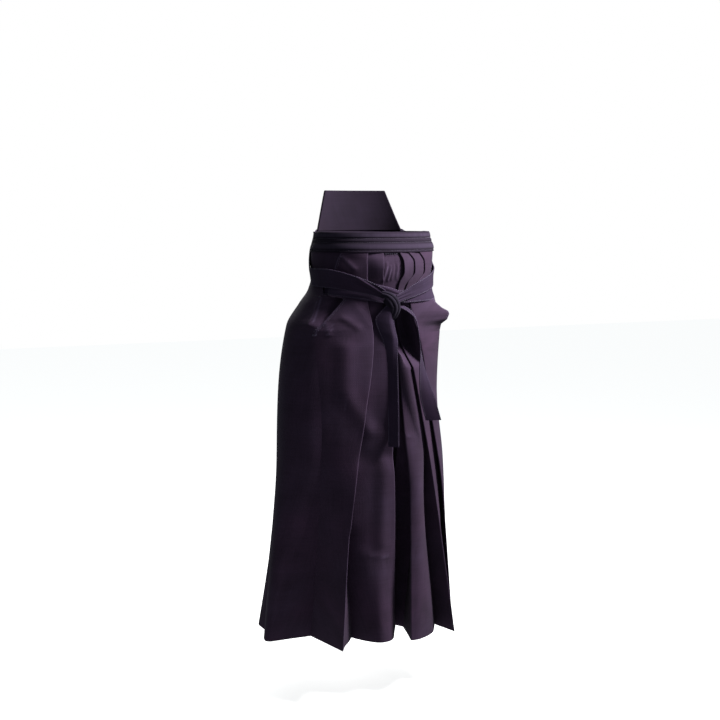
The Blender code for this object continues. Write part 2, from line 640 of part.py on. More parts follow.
def build_gusset(material):
    """The narrow gusset over the tops of the two gores, from the front seam to the back seam."""
    level = np.array([CROTCH - 12.0])
    front = np.array([station(FRONT_CENTRE_X, level)[0], station(FRONT_CENTRE_Y, level)[0] + 2.0])
    back = np.array([station(BACK_CENTRE_X, level)[0], station(BACK_CENTRE_Y, level)[0] - 2.0])
    share = np.linspace(0.0, 1.0, 9)[:, None]
    side = np.linspace(-1.0, 1.0, 5)[None, :]
    x = front[0] + (back[0] - front[0]) * share + GUSSET_HALF * side
    y = front[1] + (back[1] - front[1]) * share + 0.0 * side
    z = level[0] + 0.5 * CLOTH + SEAM_GAP + GUSSET_RISE * (1.0 - side ** 2) + 0.0 * share
    cloth_wall("gusset", np.stack((x, y, z), axis=-1), CLOTH, material)


def clear_scene():
    """Remove the objects of the open scene."""
    for obj in list(bpy.data.objects):
        bpy.data.objects.remove(obj, do_unlink=True)


def main():
    clear_scene()
    cloth = cloth_material("hakama cloth", (0.045, 0.022, 0.055), 0.8)
    ties = cloth_material("tie cloth", (0.022, 0.018, 0.055), 0.75)
    build_panels(cloth)
    build_gusset(cloth)
    build_bands(cloth, cloth)
    build_ties(ties)
    build_knot(ties)


main()
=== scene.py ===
"""Divided, pleated hakama trousers: the visible cloth, ties, board and stitching on the solid model.

Every cloth piece follows the same level sections as its solid, worked out more finely: a section
starts at the centre seam, runs outward to the side seam and turns back on itself at each knife pleat.
Frame: +Z up, origin at the middle of the waist on the front waistband's top edge, the wearer faces -Y
and the wearer's left is +X. The tables are in millimetres and degrees.
"""
import math

import bmesh
import bpy
import numpy as np
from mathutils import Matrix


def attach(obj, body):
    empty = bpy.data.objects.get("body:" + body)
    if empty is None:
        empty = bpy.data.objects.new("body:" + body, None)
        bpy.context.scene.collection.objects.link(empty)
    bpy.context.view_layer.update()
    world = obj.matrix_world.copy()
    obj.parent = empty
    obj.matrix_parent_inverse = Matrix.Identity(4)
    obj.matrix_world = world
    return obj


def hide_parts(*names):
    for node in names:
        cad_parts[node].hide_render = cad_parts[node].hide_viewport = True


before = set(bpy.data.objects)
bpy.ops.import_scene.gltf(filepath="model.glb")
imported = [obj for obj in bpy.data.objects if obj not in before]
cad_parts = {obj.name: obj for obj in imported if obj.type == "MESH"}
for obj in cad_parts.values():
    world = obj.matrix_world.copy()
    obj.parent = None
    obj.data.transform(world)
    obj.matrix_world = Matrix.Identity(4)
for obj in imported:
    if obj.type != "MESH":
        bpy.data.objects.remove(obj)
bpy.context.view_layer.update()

bl_info = {
    "name": "Hakama Trousers",
    "version": (1, 0, 0),
    "blender": (4, 5, 0),
    "location": "View3D > Sidebar > Hakama",
    "description": "Pleated hakama trousers with waistbands, board, ties, knot and stitching",
    "category": "Add Mesh",
}

MM = 0.001
TINY = 1e-9          # keeps a division from meeting nothing

CLOTH = 1.2          # wall of a single cloth
TIE_CLOTH = 1.6      # a tie is a folded strip
BOARD = 5.0          # stiff board covered with cloth
THREAD = 3.2         # length of one stitch that shows
THREAD_WIDTH = 0.7
THREAD_STEP = 5.0    # from one stitch to the next
SEAM_GAP = -0.06     # the walls meet at a seam this much inside each other, so no light comes through
BEND_RADIUS = 0.4    # how far a folded layer stays from the point of a closed fold
BEND_REACH = 16.0    # how far a soft bend is rounded to each side

# The outline of the worn garment: half widths and half depths from the waist's axis at each height.
OUTLINE_COLUMNS = ("height", "right", "left", "front", "back")
OUTLINE = (
    (100, 126, 124, 95, 104),
    (0, 128, 128, 97, 98),
    (-40, 136, 138, 105, 101),
    (-76, 136, 132, 113, 106),
    (-98, 134, 128, 111, 112),
    (-124, 140, 131, 107, 122),
    (-153, 160, 143, 108, 134),
    (-200, 190, 149, 113, 146),
    (-330, 209, 147, 116, 155),
    (-500, 216, 171, 115, 165),
    (-670, 235, 187, 113, 178),
    (-880, 262, 201, 110, 195),
)
ROUNDNESS_WAIST = 2.0   # 2 is an ellipse, more is squarer
ROUNDNESS_HEM = 2.3
HEM = -880
SLIT_BOTTOM = -215      # the side slits end here
SLIT_OPENING = 35       # and stand fully open this much higher
CROTCH = -400           # the legs part here
LEG_SPREAD = 10         # half the gap between the two inner legs at the hem
SPREAD_REACH = 30       # the gap opens over about this height

# Heights of the stations where the fold tables give their values, top to hem.
STATIONS = (-40, -62, -85, -108, -150, -180, -215, -400, -560, -880)
LAYER = (1.5, 1.6, 1.7, 2.0, 2.4, 2.7, 3.0, 3.5, 4.0, 5.0)    # spacing of the layers in a closed pleat

# Centre seams, x and y.
FRONT_CENTRE_X = (0, 0, 0, 0, 0, 0, 2, 6, 18, 48)
FRONT_CENTRE_Y = (-101, -106, -108, -105, -103, -105, -107, -100, -50, 26)
BACK_CENTRE_X = (0, 0, 0, 0, 0, 0, 0, 4, 12, 30)
BACK_CENTRE_Y = (100, 101, 104, 111, 127, 134, 140, 150, 146, 125)

# One row for each fold, from the centre seam to the side: its name, which begins with its kind, its
# place across (x on the front, degrees from centre back on the back) and how far it lies inside the
# outline.
NOUGHT = (0,) * len(STATIONS)
FRONT_RIGHT_FOLDS = (
    ("valley_b", (-44, -45, -45, -46, -48, -50, -50, -36, -20, 58), (0, 0, 0, 0, 0, 0, 0, 4, 16, 98)),
    ("crease_b", (-25, -29, -30, -28, -28, -30, -27, -12, -1, 27), (0, 0, 0, 0, 0, 0, 0, 0, 4, 53)),
    ("valley_a", (-84, -86, -86, -84, -84, -82, -80, -95, -106, -65), (0, 0, 0, 0, 0, 0, 0, 4, 16, 70)),
    ("crease_a", (-57, -61, -61, -60, -60, -57, -54, -75, -94, -124), (0, 0, 0, 0, 0, 0, 0, 0, 0, -16)),
)
FRONT_LEFT_FOLDS = (
    ("valley_c", (28, 41, 41, 24, 18, 18, 22, 42, 60, 74), (0, 0, 0, 0, 0, 0, 0, 4, 16, 84)),
    ("crease_c", (12, 20, 20, 10, 6, 3, 4, 19, 38, 43), NOUGHT),
    ("valley_d", (52, 72, 72, 50, 36, 40, 50, 84, 92, 147), (0, 0, 0, 0, 0, 0, 0, 4, 30, 52)),
    ("crease_d", (34, 50, 50, 32, 22, 24, 29, 71, 106, 160), (0, 0, 0, 0, 0, 0, 0, 0, 0, -22)),
    ("valley_e", (82, 98, 99, 78, 60, 66, 80, 115, 144, 165), (0, 0, 0, 0, 0, 0, 0, 7, 19, 38)),
    ("crease_e", (64, 81, 82, 58, 40, 46, 60, 100, 132, 173), NOUGHT),
)
BACK_PLEAT = (
    ("valley_back", (24, 23.5, 23, 22.3, 21, 20, 20, 20, 22, 26), (0, 0, 0, 0, 0, 0, 0, 0, 4, 24)),
    ("crease_back", (8, 8, 8, 8, 8, 8, 8, 9, 11, 14), (0, 0, 0, 0, 0, 0, 0, 0, 0, -5)),
)
BACK_RIGHT_FOLDS = BACK_PLEAT + (
    ("bend_rear", (50, 50, 50, 50, 50, 50, 50, 50, 51, 53), (0, 0, 0, 0, 0, 0, 0, 0, -4, -20)),
    ("bend_trough", (66, 66, 66, 66.4, 68, 70, 72, 72, 70, 66), (0, 0, 0, 0, 0, 0, 0, 2, 8, 25)),
    ("bend_side", (78, 84.4, 90, 94, 98, 98, 96, 96, 92, 86), (0, 0, 0, 0, 0, 0, 0, -2, 2, 18)),
)
BACK_LEFT_FOLDS = BACK_PLEAT + (
    ("bend_rear", (46, 46, 46, 46, 46, 46, 46, 46, 44, 40), (0, 0, 0, 0, 0, 0, 0, 0, -3, -12)),
    ("bend_trough", (62, 62, 62, 62, 62, 62, 62, 62, 60, 56), (0, 0, 0, 0, 0, 0, 0, 2, 6, 14)),
    ("bend_side", (78, 84.6, 90, 93, 96, 96, 94, 90, 84, 78), (0, 0, 0, 0, 0, 0, 0, 0, -2, -4)),
)
# Outward bow of the cloth between a fold and the next one; elsewhere it runs straight.
BOWS = {"crease_b": (0, 0, 0, 0, 0, 0, 0, 0, 4, 52), "crease_c": (0, 0, 0, 0, 0, 0, 0, 4, 18, 20)}

# Side seams, on the front panels' measures; above the slits they are the fronts' free edges.
RIGHT_EDGE_X = (-104, -113, -117, -109, -108, -132, -165, -153, -148, -140)
RIGHT_EDGE_IN = (0, 0, 0, 0, 0, 0, 0, 12, 38, 116)
LEFT_EDGE_X = (118, 115, 112, 107, 106, 140, 136, 140, 162, 187)
LEFT_EDGE_IN = (0, 0, 0, 0, 0, -44, -8, 8, 20, 75)
# The back panels' free edges above the slit's bottom, in degrees from centre back, and how deep they
# are tucked under the front panels' free edges.
BACK_EDGE_RIGHT = (129, 125, 113, 103, 110, 111, 110, 110, 110, 110)
BACK_EDGE_LEFT = (126, 122, 112, 106, 110, 112, 112, 112, 112, 112)
BACK_EDGE_IN = (3.6, 3.6, 2.6, 0, 0, 0, 0, 0, 0, 0)
# Below the ties the right back panel's edge is folded forward under the slit: height, degrees, depth.
SLIT_TUCK = ((-131, 0, 0), (-138, 21, 4), (-150, 18, 4), (-170, 12, 4), (-190, 6, 3), (-206, 2, 1),
             (-214, 0, 0))
# The front panels' free edges round the slits, pulled straight on the right and into a flap on the left:
# height, x and y.
RIGHT_FREE = ((-138, -105, -79), (-142, -106, -78), (-182, -142, -71), (-203, -161, -64), (-215, -165, -62))
LEFT_FREE = ((-138, 106, -70), (-154, 117, -77), (-164, 129, -79), (-171, 144, -79), (-177, 147.5, -78),
             (-189, 144, -75), (-199, 133, -68), (-215, 136, -56))
FLAP = ((-140, 0.0), (-150, 1.0), (-202, 1.0), (-245, 0.0))    # height, and how flat the flap hangs
FLAP_BOW = 2.0          # its cloth still bows forward this far

# Levels of the worked cloth: close together round the ties and slits, wider below them.
PANEL_TOP = -40.6
FINE_FOOT = -240.0
LEVELS = np.concatenate((np.linspace(PANEL_TOP, FINE_FOOT, 88), np.linspace(FINE_FOOT, HEM, 112)[1:]))
FACE_POINTS = 26     # points on the visible cloth between two folds
RETURN_POINTS = 8    # points on the hidden layer of a pleat
ROUND_SHARES = (0.12, 0.3, 0.5, 0.7, 0.88)   # places round a fold, as shares of its curve
WEAR_AND_HIGHLIGHT_SHARES = (0.35, 0.8, 1.0, 0.8, 0.35)    # how pale the cloth is painted there: rubbed wear and painted highlight

# How closed a fold is: CLOSED_AT less CLOSED_RATE times the distance between the directions of its two
# sides, and less again where it points square to the outline. An open fold bends in a wider room.
CLOSED_AT = 1.6
CLOSED_RATE = 1.2
LYING_RATE = 1.5
OPEN_ROOM = (2.3, 1.5, 9.0)    # the room for a distance of one, and the least and most room
BEND_SHARE = 0.3        # a bend takes at most this share of the cloth beside it
LOOK_SHARE = 0.25       # a fold's directions are read this share of the way to its neighbours
CROSSING = (0.02, 0.98)    # shares of a run between which it can pass below the next fold
SIDE_SHARE = 0.999      # the front is read at most this share of the way to its side
MITRE_LIMIT = 0.9       # the sharpest corner of two walls, as a cosine
LEVEL_ROOM = 1.0        # a level this near the crotch or a slit's bottom counts as at it
GORE_ROOM = 0.3         # the gores start this far below the crotch

# Soft folds pressed into the front cloth: a ridge, or a trough where the rise is negative, along a line
# from one place to another, with the half width of its rounded section. The columns are across and
# height of the line's start, the same of its end, half width and rise.
FRONT_SOFT = {
    "puff_a": (-88, -60, -64, -74, 22, -3.0),
    "puff_b": (-34, -66, 4, -74, 26, 4.0),
    "gather_1": (-19, -66, -27, -100, 3.2, 1.6),
    "gather_2": (-10, -72, -16, -100, 2.6, 1.4),
    "gather_3": (-3, -70, -8, -98, 2.6, 1.3),
    "gather_4": (6, -70, 4, -98, 3.0, 1.2),
    "diagonal": (-107, -47, -84, -76, 5, 1.3),
    "under_tie_a": (-84, -152, -60, -190, 9, 1.4),
    "slit_fold": (-112, -177, -87, -196, 7, 2.2),
    "slit_mark": (-142, -189, -140, -212, 4, 1.6),
    "thigh_edge": (-112, -242, -113, -325, 20, 5.0),
    "thigh_fall": (-104, -352, -62, -408, 17, 3.6),
    "thigh": (-74, -222, -52, -330, 50, 4.0),
    "b_lift": (-30, -250, -24, -380, 17, 2.4),
    "knee_crease": (-53, -686, -9, -690, 4, 1.6),
    "tail_swell": (-60, -418, -14, -424, 18, 3.5),
    "tail_hollow": (-62, -472, -12, -476, 20, -4.5),
    "b_roof": (-24, -490, -27, -655, 17, 4.0),
    "b_fall": (-62, -490, -64, -655, 24, -4.0),
    "a_hollow": (-96, -640, -112, -880, 14, -5.0),
    "c_kink": (24, -430, 44, -434, 5, 1.2),
    "side_drop": (120, -330, 134, -620, 10, 1.8),
    "side_drop_low": (150, -620, 164, -860, 9, -1.6),
}
# The hollow between the right and left fronts below the knot: height, x of its two sides and depth.
HOLLOW = ((-144, -14, 20, 0), (-160, -14, 32, 24), (-185, -14, 40, 40), (-215, -12, 52, 42),
          (-240, 4, 57, 36), (-262, 18, 63, 20), (-285, 24, 68, 0))
HOLLOW_EDGE = 2.2       # over which each side of it rounds off
# Soft folds of the back, across in degrees from centre back towards the wearer's left.
BACK_SOFT = {
    "seat_right": (-30, -170, -22, -330, 14, 1.8),
    "seat_left": (28, -165, 34, -350, 14, 1.8),
    "fall_right": (-38, -300, -40, -860, 12, -2.2),
    "fall_left": (36, -320, 34, -850, 12, -2.0),
    "fall_side": (-60, -250, -62, -820, 11, 1.6),
    "fall_side_left": (64, -250, 66, -820, 11, 1.6),
    "slit_fold_back": (-105, -136, -107, -190, 5, 2.2),
    "slit_hollow": (-120, -140, -115, -190, 12, -15.0),
    "slit_fold_left": (100, -150, 94, -205, 6, 1.8),
}
# Paler lines painted along lit edges and ridges of the cloth as painted highlights, in the same columns with
# how pale they are in place of the rise.
FRONT_PAINTED_HIGHLIGHTS = {
    "slit_mark": (-145, -186, -142, -212, 1.6, 0.8),
    "slit_mark_b": (-132, -190, -135, -204, 1.3, 0.4),
    "diagonal": (-104, -50, -86, -74, 3.0, 0.25),
    "seam_tick": (-112, -345, -112, -368, 1.2, 0.35),
    "crease_a": (-57, -42, -61, -150, 1.6, 0.3),
    "gather_1": (-17, -72, -25, -100, 1.4, 0.5),
    "gather_2": (-9, -78, -15, -100, 1.2, 0.4),
    "gather_3": (5, -84, 2, -100, 1.2, 0.5),
    "knee_crease": (-50, -686, -12, -690, 1.6, 0.35),
    "c_kink": (26, -430, 42, -434, 1.6, 0.3),
}
BACK_PAINTED_HIGHLIGHTS = {
    "fold_a": (-106, -134, -109, -186, 1.5, 0.8),
    "fold_b": (-103, -134, -107, -182, 1.2, 0.5),
}
# How pale the free slit edges are painted: a painted highlight where they catch the light.
FREE_EDGE_HIGHLIGHT = 0.9
# How pale the crease edges are painted at the top, and how much more below the ties, where it comes on over
# CREASE_FADE: rubbed wear and painted highlight on the edges.
CREASE_WEAR_AND_HIGHLIGHT = {"front_right": (0.2, 0.18), "front_left": (0.1, 0.06), "back_right": (0.2, 0.22),
               "back_left": (0.2, 0.22)}
CREASE_START = -150.0
CREASE_FADE = 80.0
DEGREE_SPAN = 2.7    # millimetres across the back for each degree
SOFT_START = -42     # soft folds start at this height
SOFT_FADE = 16       # and come on over this much below it
# Slow waves in the hanging cloth: length across, phase, how much it slants for each millimetre down,
# and its height at the hem.
WAVES = ((83.0, 0.4, 0.02, 1.1), (47.0, 2.1, -0.03, 0.6), (29.0, 4.0, 0.015, 0.3))
WAVE_GROWTH = 0.8    # power of the share of the way to the hem
GORE_POINTS = 40

# The waistbands. Their sections are pairs of height and inside: up the inner face, over the top edge and
# down the outer face to a lip that laps over the panels' tops. The front's rolls come in between.
ROLL_EDGES = (-0.2, -13.5, -21.5, -38.6)    # heights where the rolls are stitched down
ROLL_RISE = (1.9, 1.4, 1.9)                 # how far each roll is crowned
ROLL_GROOVE = -0.6
ROLL_POINTS = 12
ROLL_SHIFT = 0.02       # a roll's points lie this share of it past the stitched groove
LIP_FOOT = -42.4
LIP = ((LIP_FOOT + 0.3, -1.7), (LIP_FOOT, -1.4), (LIP_FOOT + 0.2, -1.05), (-40.2, -0.95))
FRONT_INNER_FACE = ((-39.9, 1.6), (-30, 1.6), (-20, 1.6), (-10, 1.6), (-1, 1.6), (-0.2, 1.2), (0, 0.6),
                    (0, -0.4))
FRONT_FOOT = ((-38.9, -1.1), (-40.4, -1.6)) + LIP
BACK_SECTION = ((-39.9, 1), (-30, 1), (-20, 1), (-10, 1), (-1.2, 1), (-0.6, 0.6), (-0.6, -1), (-0.6, -2.6),
                (3.4, -2.75), (3.9, -3.1), (3.6, -3.5), (-1.5, -3.3), (-4, -2.3), (-12, -2), (-20, -2),
                (-30, -2), (-38, -2.1), (-40, -1.7)) + LIP
BACK_TOP = -0.6         # the back band's top edge beside the board, which its head is pressed down to
HEAD_FALL = 3.0         # over which the head ends there, in degrees
BAND_POINTS = 171       # sections round each band
BAND_RIPPLE = (0.12, 1.9, 0.53)    # height of the outer face's ripple, and its two waves for each degree
CROWN_HIGHLIGHT = (1.9, 0.6, 0.3)       # a crown is painted paler from this rise, fully this much higher, and this pale: painted highlight
TOP_HIGHLIGHT = (-0.3, 0.5, 0.3)        # the top edge is painted paler between these heights, and this pale: painted highlight
FRONT_BAND_HALF = 93    # half the angle that each band covers
BACK_BAND_HALF = 86

# The stiff board: height, half angles at foot and top, grid and rounded edge.
BOARD_HEIGHT = 88
BOARD_FOOT_HALF = 60
BOARD_TOP_HALF = 41
BOARD_ROWS = 30
BOARD_COLUMNS = 90
BOARD_BEVEL = 1.6
BOARD_BEVEL_STEPS = 3
BOARD_BEVEL_ANGLE = 60

# Ties: one row for each place along a tie, with the angle in degrees from centre front towards the left,
# the height, the half width and how far it lies inside the outline.
FRONT_TIE_UPPER = ((74, -20.4, 18.5, 3.4), (90, -21.4, 18.7, 3.6), (110, -20, 17, 3.6), (250, -20, 17, 3.6),
                   (270, -21.4, 18.7, 3.6), (286, -20.4, 18.5, 3.4))
FRONT_TIE_LOW = ((-100, -112, 18, 5.0), (-72, -112, 19, 4.8), (-66, -113, 19, -3.6), (-30, -123, 19, -3.6),
                 (-8, -132, 18, -3.6), (8, -135, 13, -3.6), (30, -131, 16, -3.6), (63.5, -126, 19, -3.6),
                 (70, -124, 19, 4.8), (100, -120, 18, 5.0))
BACK_TIE_RIGHT = ((-119, -20, 17, -3.0), (-110, -48, 22, -2.7), (-101, -80, 21, -3.0), (-90, -95, 19, -4.2),
                  (-69, -96, 20, -6.4), (-40, -108, 17, -6.9), (-25, -118, 13, -7.0),
                  (-13.2, -130, 10, -9.0))
BACK_TIE_LEFT = ((0.1, -140, 9, -9.0), (12, -131, 11, -7.2), (30, -118, 15, -6.9), (66, -98, 18, -6.9),
                 (80, -86, 19, -4.6), (100, -50, 18, -5.4), (119, -20, 17, -5.0))
TIE_CURL = 0.9          # how much nearer the body a tie's two long edges lie
TIE_EDGE_PALENESS = (0.05, 0.4)  # how pale they are at the start and at the end
# The right back tie's upper edge stands off: how far for each half width, from which angle, and over how
# many degrees that comes on.
TIE_TILT = 4.0
TILT_START = -110.0
TILT_REACH = 30.0
FOLD_LINES = ((0.33, 0.35), (-0.4, 0.3))    # a tie's two lengthwise lines: place across and depth
FOLD_LINE_HALF = 0.05
# The furrows that run into the knot: angle where they are deepest and the reach about it, depth, how many
# there are for each half width, and how much they slant for each degree.
GATHER_AT = -6.0
GATHER_REACH = 22.0
GATHER_DEPTH = 1.6
GATHER_COUNT = 1.6
GATHER_SLANT = 0.02
# The right back tie's turned-over ridge slants: from and to in degrees, from and to across. Then its
# height, half width, the furrow beside it (depth as a share, distance in half widths) and the degrees
# over which it starts.
TURNED_EDGE = (-38, -15, 0.75, -0.15)
TURNED_RISE = 3.0
TURNED_HALF = 0.2
TURNED_FURROW = (0.5, 1.9)
TURNED_START = 8.0
TURNED_OVERRUN = 0.3    # it runs on by this share of its length

# The knot's leaning frame and its squared core: half width, half depth and half length.
KNOT_CENTRE = (-15, -119.0, -147)
KNOT_LEAN = 33
KNOT_HALF = (12.5, 7.0, 16.0)
KNOT_POWER = 0.7        # 1 leaves the core's section round, less makes it squarer
KNOT_TURNS = 32
KNOT_RINGS = 17

# The hanging ends: x, y and height of the middle line, half width, turn of the width about the
# vertical (0 faces front), how far they stand out as a lengthwise fold and where across it peaks.
TAIL_LONG = (
    (-15, -120, -150, 8, 0, 4.5, 0.4),
    (-24, -118.5, -165, 15, -8, 6.5, 0.45),
    (-29, -116.5, -182, 20, -14, 7.0, 0.5),
    (-24, -118, -205, 18.5, -15, 6.5, 0.5),
    (-17, -121, -230, 15.5, -26, 3.5, 0.35),
    (-15, -125, -290, 13, -42, 0.4, 0.1),
    (-12.5, -127, -400, 12.5, -52, 0.3, 0),
    (-12, -127, -450, 12.5, -55, 0.3, 0),
)
TAIL_SHORT = (
    (5, -123, -154, 8, 10, 1.5, 0),
    (20, -130, -163, 10, 35, 1.5, 0),
    (35, -137, -184, 9.5, 60, 1.0, 0),
    (42, -140, -230, 9, 64, 0.5, 0),
    (49, -138, -285, 12, 36, 0.5, 0),
    (59, -134, -325, 15, 8, 0.5, 0),
    (68, -131, -355, 17, -8, 0.5, 0),
    (83, -127, -399, 17, -16, 0.5, 0),
)
TAIL_FOLD_POWER = 1.5   # shape of the lengthwise fold: 1 is a sharp roof, more is rounder

# The gusset: half width, how far it is arched, how far below the crotch and how short of the seams.
GUSSET_HALF = 4.6
GUSSET_RISE = 3.0
GUSSET_DROP = 12.0
GUSSET_SHORT = 2.0
GUSSET_ROWS = 60
GUSSET_COLUMNS = 9

# Flat cuts in metres: the two sides, and the area of what shows where that isn't their product.
PANEL_CUTS = {
    "front_right": (0.476, 0.845, 0.30),
    "front_left": (0.533, 0.845, 0.34),
    "back_right": (0.563, 0.845, 0.34),
    "back_left": (0.400, 0.845, 0.27),
}
FRONT_BAND_CUT = (0.33, 0.042)
BACK_BAND_CUT = (0.335, 0.040)

# The wrap over the knot's front: its middle line in x and height, how far it stands out of the knot's
# centre and how far its strands spread apart there. Then one row for each strand: where its middle lies
# beside that line, its width, and how far it is sunk.
WRAP = ((-38, -127, 3.0, 0.5), (-31, -129, 6.5, 0.65), (-21, -135, 10.5, 0.9), (-12, -146, 12.5, 1.0),
        (-8, -158, 11.5, 0.95), (-10, -170, 8.5, 0.8), (-16, -180, 3.5, 0.6))
STRANDS = ((-7.4, 7.2, 2.6), (-0.4, 7.6, 0.4), (6.6, 7.2, 1.2))
STRAND_CROWN = 1.7
STRAND_ROWS = 70
STRAND_COLUMNS = 15

WARP_STREAKS = 450.0
STREAK_RUN = 14.0
TWIST = 700.0        # twists of a sewing thread, drawn about three times as coarse as they are
THREADS = 1000.0 / 2.4
DYE_SCALE = 16.0
BLOTCH_SCALE = 7.0
# Ranges and shares of the patterns, depths of the bumps in metres, and the shaders' values.
DYE_SPREAD = (0.72, 1.28)          # of streaks and dye together, from the deepest dye to the full one
BLOTCH_SPREAD = (0.42, 0.62)       # from the cool drift to the warm one
COOL_DYE = (0.96, 1.02, 1.01)      # red, green and blue shares of the dye's two drifts
WARM_DYE = (1.06, 0.97, 1.01)
STREAK_SHARE = 0.5                 # of each thread's streaks, beside the dye's unevenness
WEAVE_SHARE = 0.35                 # of the weave's checks, beside the streaks' relief
WEAVE_BUMP = 0.35
WEAVE_DEPTH = 0.0004
PLY_BUMP = 0.5
PLY_DEPTH = 0.0001
CLOTH_ROUGHNESS = 0.9
TIE_ROUGHNESS = 0.85
THREAD_ROUGHNESS = 0.7
CLOTH_SPECULAR = 0.06
CLOTH_SHEEN = 0.01
SHEEN_ROUGHNESS = 0.6

# Colours of the pieces as sRGB, and how dark the deepest dye is as a share of each.
CLOTH_COLOUR = "#2c1f2f"
# The bands' colour is a little bluer than the cloth's, and darkened as painted shade.
BAND_SHADED_COLOUR = "#170f1b"
TIE_COLOUR = "#261b2c"
# The knot's colour is the ties' colour darkened as painted shade.
KNOT_SHADED_COLOUR = "#19131f"
# The pale colour serves both rubbed wear and painted highlights on lit edges and ridges.
WORN_AND_LIT_COLOUR = "#50445a"
THREAD_COLOUR = "#4a4256"
DEEP_DYE = 0.62

# Stitches. A thread's ends dip into the cloth by a share of its width, and its middle stands off it.
THREAD_DIP = 0.3
THREAD_LIFT = 0.1
BOARD_THREAD_LIFT = 0.15
THREAD_AIM = 0.5        # a stitch's direction is read this far to each side of its middle
ROW_ENDS = (0.5, 0.4)   # shares of a step left free at a row's start and end
EDGE_ROW = 5.0          # how far inside a slit's edge its row runs
EDGE_ROW_TOP = -48.0
EDGE_ROW_FOOT = 3.0     # it ends this far above the slit's bottom
TACK_ROW = (-23.0, 10.0, -45.5)    # from and to across, and its height: it catches the pleats' tops
TACK_POINTS = 20
BAR_TACK = (0.8, 9.0, -211.5, 1.6)    # at a slit's foot: from and to inside the edge, top, spacing
BAR_THREADS = 3
BAR_POINTS = 6
# Where the rows of stitches run on the grids of the board and the ties, and from which point to which.
BOARD_SIDE_COLUMNS = (5, -6)
BOARD_SIDE_RUN = slice(2, -3)
BOARD_TOP_ROW = -4
BOARD_TOP_RUN = slice(6, -6)
TIE_ROWS = (1, -2)
TIE_RUN = slice(3, -3)
BAND_ROW_POINTS = 120
BAND_ROW_SHORT = 1.0    # degrees that a band's rows end short of its ends
FRONT_BAND_FACE = ROLL_GROOVE - 0.3    # inside of the faces that the bands' rows lie on
BACK_BAND_FACE = -2.35
BACK_BAND_ROWS = (-5.0, -36.0)

# The stage: light and camera, in metres and degrees from the front towards the wearer's left.
FLOOR = -1.0
FLOOR_HALF = 8.0
FLOOR_COLOUR = (0.3, 0.3, 0.3, 1.0)
FLOOR_ROUGHNESS = 0.9
FLOOR_GLOW = 0.86
WHITE = (1.0, 1.0, 1.0, 1.0)
ROOM_LIGHT = (0.27, 0.32, 0.33, 1.0)
# Each light: azimuth, distance from the axis, height, the height it is aimed at, size and power.
LIGHTS = {
    "key_light": (52, 1.25, 1.0, -0.1, 0.5, 170),
    "floor_bounce": (-20, 0.45, -0.97, 9.0, 1.0, 1.8),
    "back_light": (165, 2.0, 0.9, -0.4, 1.4, 55),
}
CAMERA_AZIMUTH = -26.0
CAMERA_TILT = 6.05
CAMERA_DISTANCE = 3.1
CAMERA_HEIGHT = 0.05
CAMERA_SIDE = 0.0259
CAMERA_LENS = 71.75     # in millimetres, as the sensor's width is
CAMERA_SENSOR = 36.0


def through(places, values, wanted):
    """Monotone cubic through the points (places, values), read at wanted.

    The tangent at a point is the harmonic mean of the slopes beside it, and nothing where they turn.
    """
    places = np.asarray(places, float)
    values = np.asarray(values, float)
    if places[0] > places[-1]:
        places = places[::-1]
        values = values[::-1]
    step = np.diff(places)
    slope = np.diff(values) / step
    tangent = np.empty_like(values)
    tangent[0] = slope[0]
    tangent[-1] = slope[-1]
    product = slope[:-1] * slope[1:]
    total = slope[:-1] + slope[1:]
    safe = np.where(product > 0, total, 1.0)
    tangent[1:-1] = np.where(product > 0, 2.0 * product / safe, 0.0)
    wanted = np.clip(wanted, places[0], places[-1])
    index = np.clip(np.searchsorted(places, wanted, side="right") - 1, 0, len(step) - 1)
    width = step[index]
    part = (wanted - places[index]) / width
    rise = values[index] * (1 + 2 * part) * (1 - part) ** 2
    rise = rise + width * tangent[index] * part * (1 - part) ** 2
    rise = rise + values[index + 1] * part ** 2 * (3 - 2 * part)
    return rise + width * tangent[index + 1] * part ** 2 * (part - 1)


def station(values, height):
    """A fold table's value at any height."""
    return through(STATIONS, values, height)


def straight_between(table, height):
    """The further columns of a table that starts with heights, straight between its rows."""
    heights, *columns = np.array(table, float)[::-1].T
    return [np.interp(height, heights, column) for column in columns]


def outline(name, height):
    """One half measure of the garment's outline at any height."""
    columns = dict(zip(OUTLINE_COLUMNS, zip(*OUTLINE)))
    return through(columns["height"], columns[name], height)


def roundness(height):
    """How square the outline is at any height."""
    part = np.clip(height / HEM, 0.0, 1.0)
    return ROUNDNESS_WAIST + (ROUNDNESS_HEM - ROUNDNESS_WAIST) * part


def front_depth(across, height):
    """How far forward the outline lies at x = across: depth * (1 - (|x| / half width)^p)^(1/p)."""
    half = np.where(across < 0, outline("right", height), outline("left", height))
    power = roundness(height)
    share = np.clip(np.abs(across) / half, 0.0, SIDE_SHARE)
    return outline("front", height) * (1.0 - share ** power) ** (1.0 / power)


def radius(angle, height):
    """Distance of the outline from the waist's axis, at degrees from centre front towards the left.

    It is ((|sin| / half width)^p + (|cos| / half depth)^p)^(-1/p).
    """
    sine = np.sin(np.radians(angle))
    cosine = np.cos(np.radians(angle))
    side = np.where(sine < 0, outline("right", height), outline("left", height))
    depth = np.where(cosine > 0, outline("front", height), outline("back", height))
    power = roundness(height)
    total = (np.abs(sine) / side) ** power + (np.abs(cosine) / depth) ** power
    return total ** (-1.0 / power)


def around(angle, inside, height):
    """x and y at degrees from centre front towards the wearer's left, inside the outline."""
    reach = radius(angle, height) - inside
    turn = np.radians(angle)
    return np.stack((reach * np.sin(turn), -reach * np.cos(turn)), axis=-1)


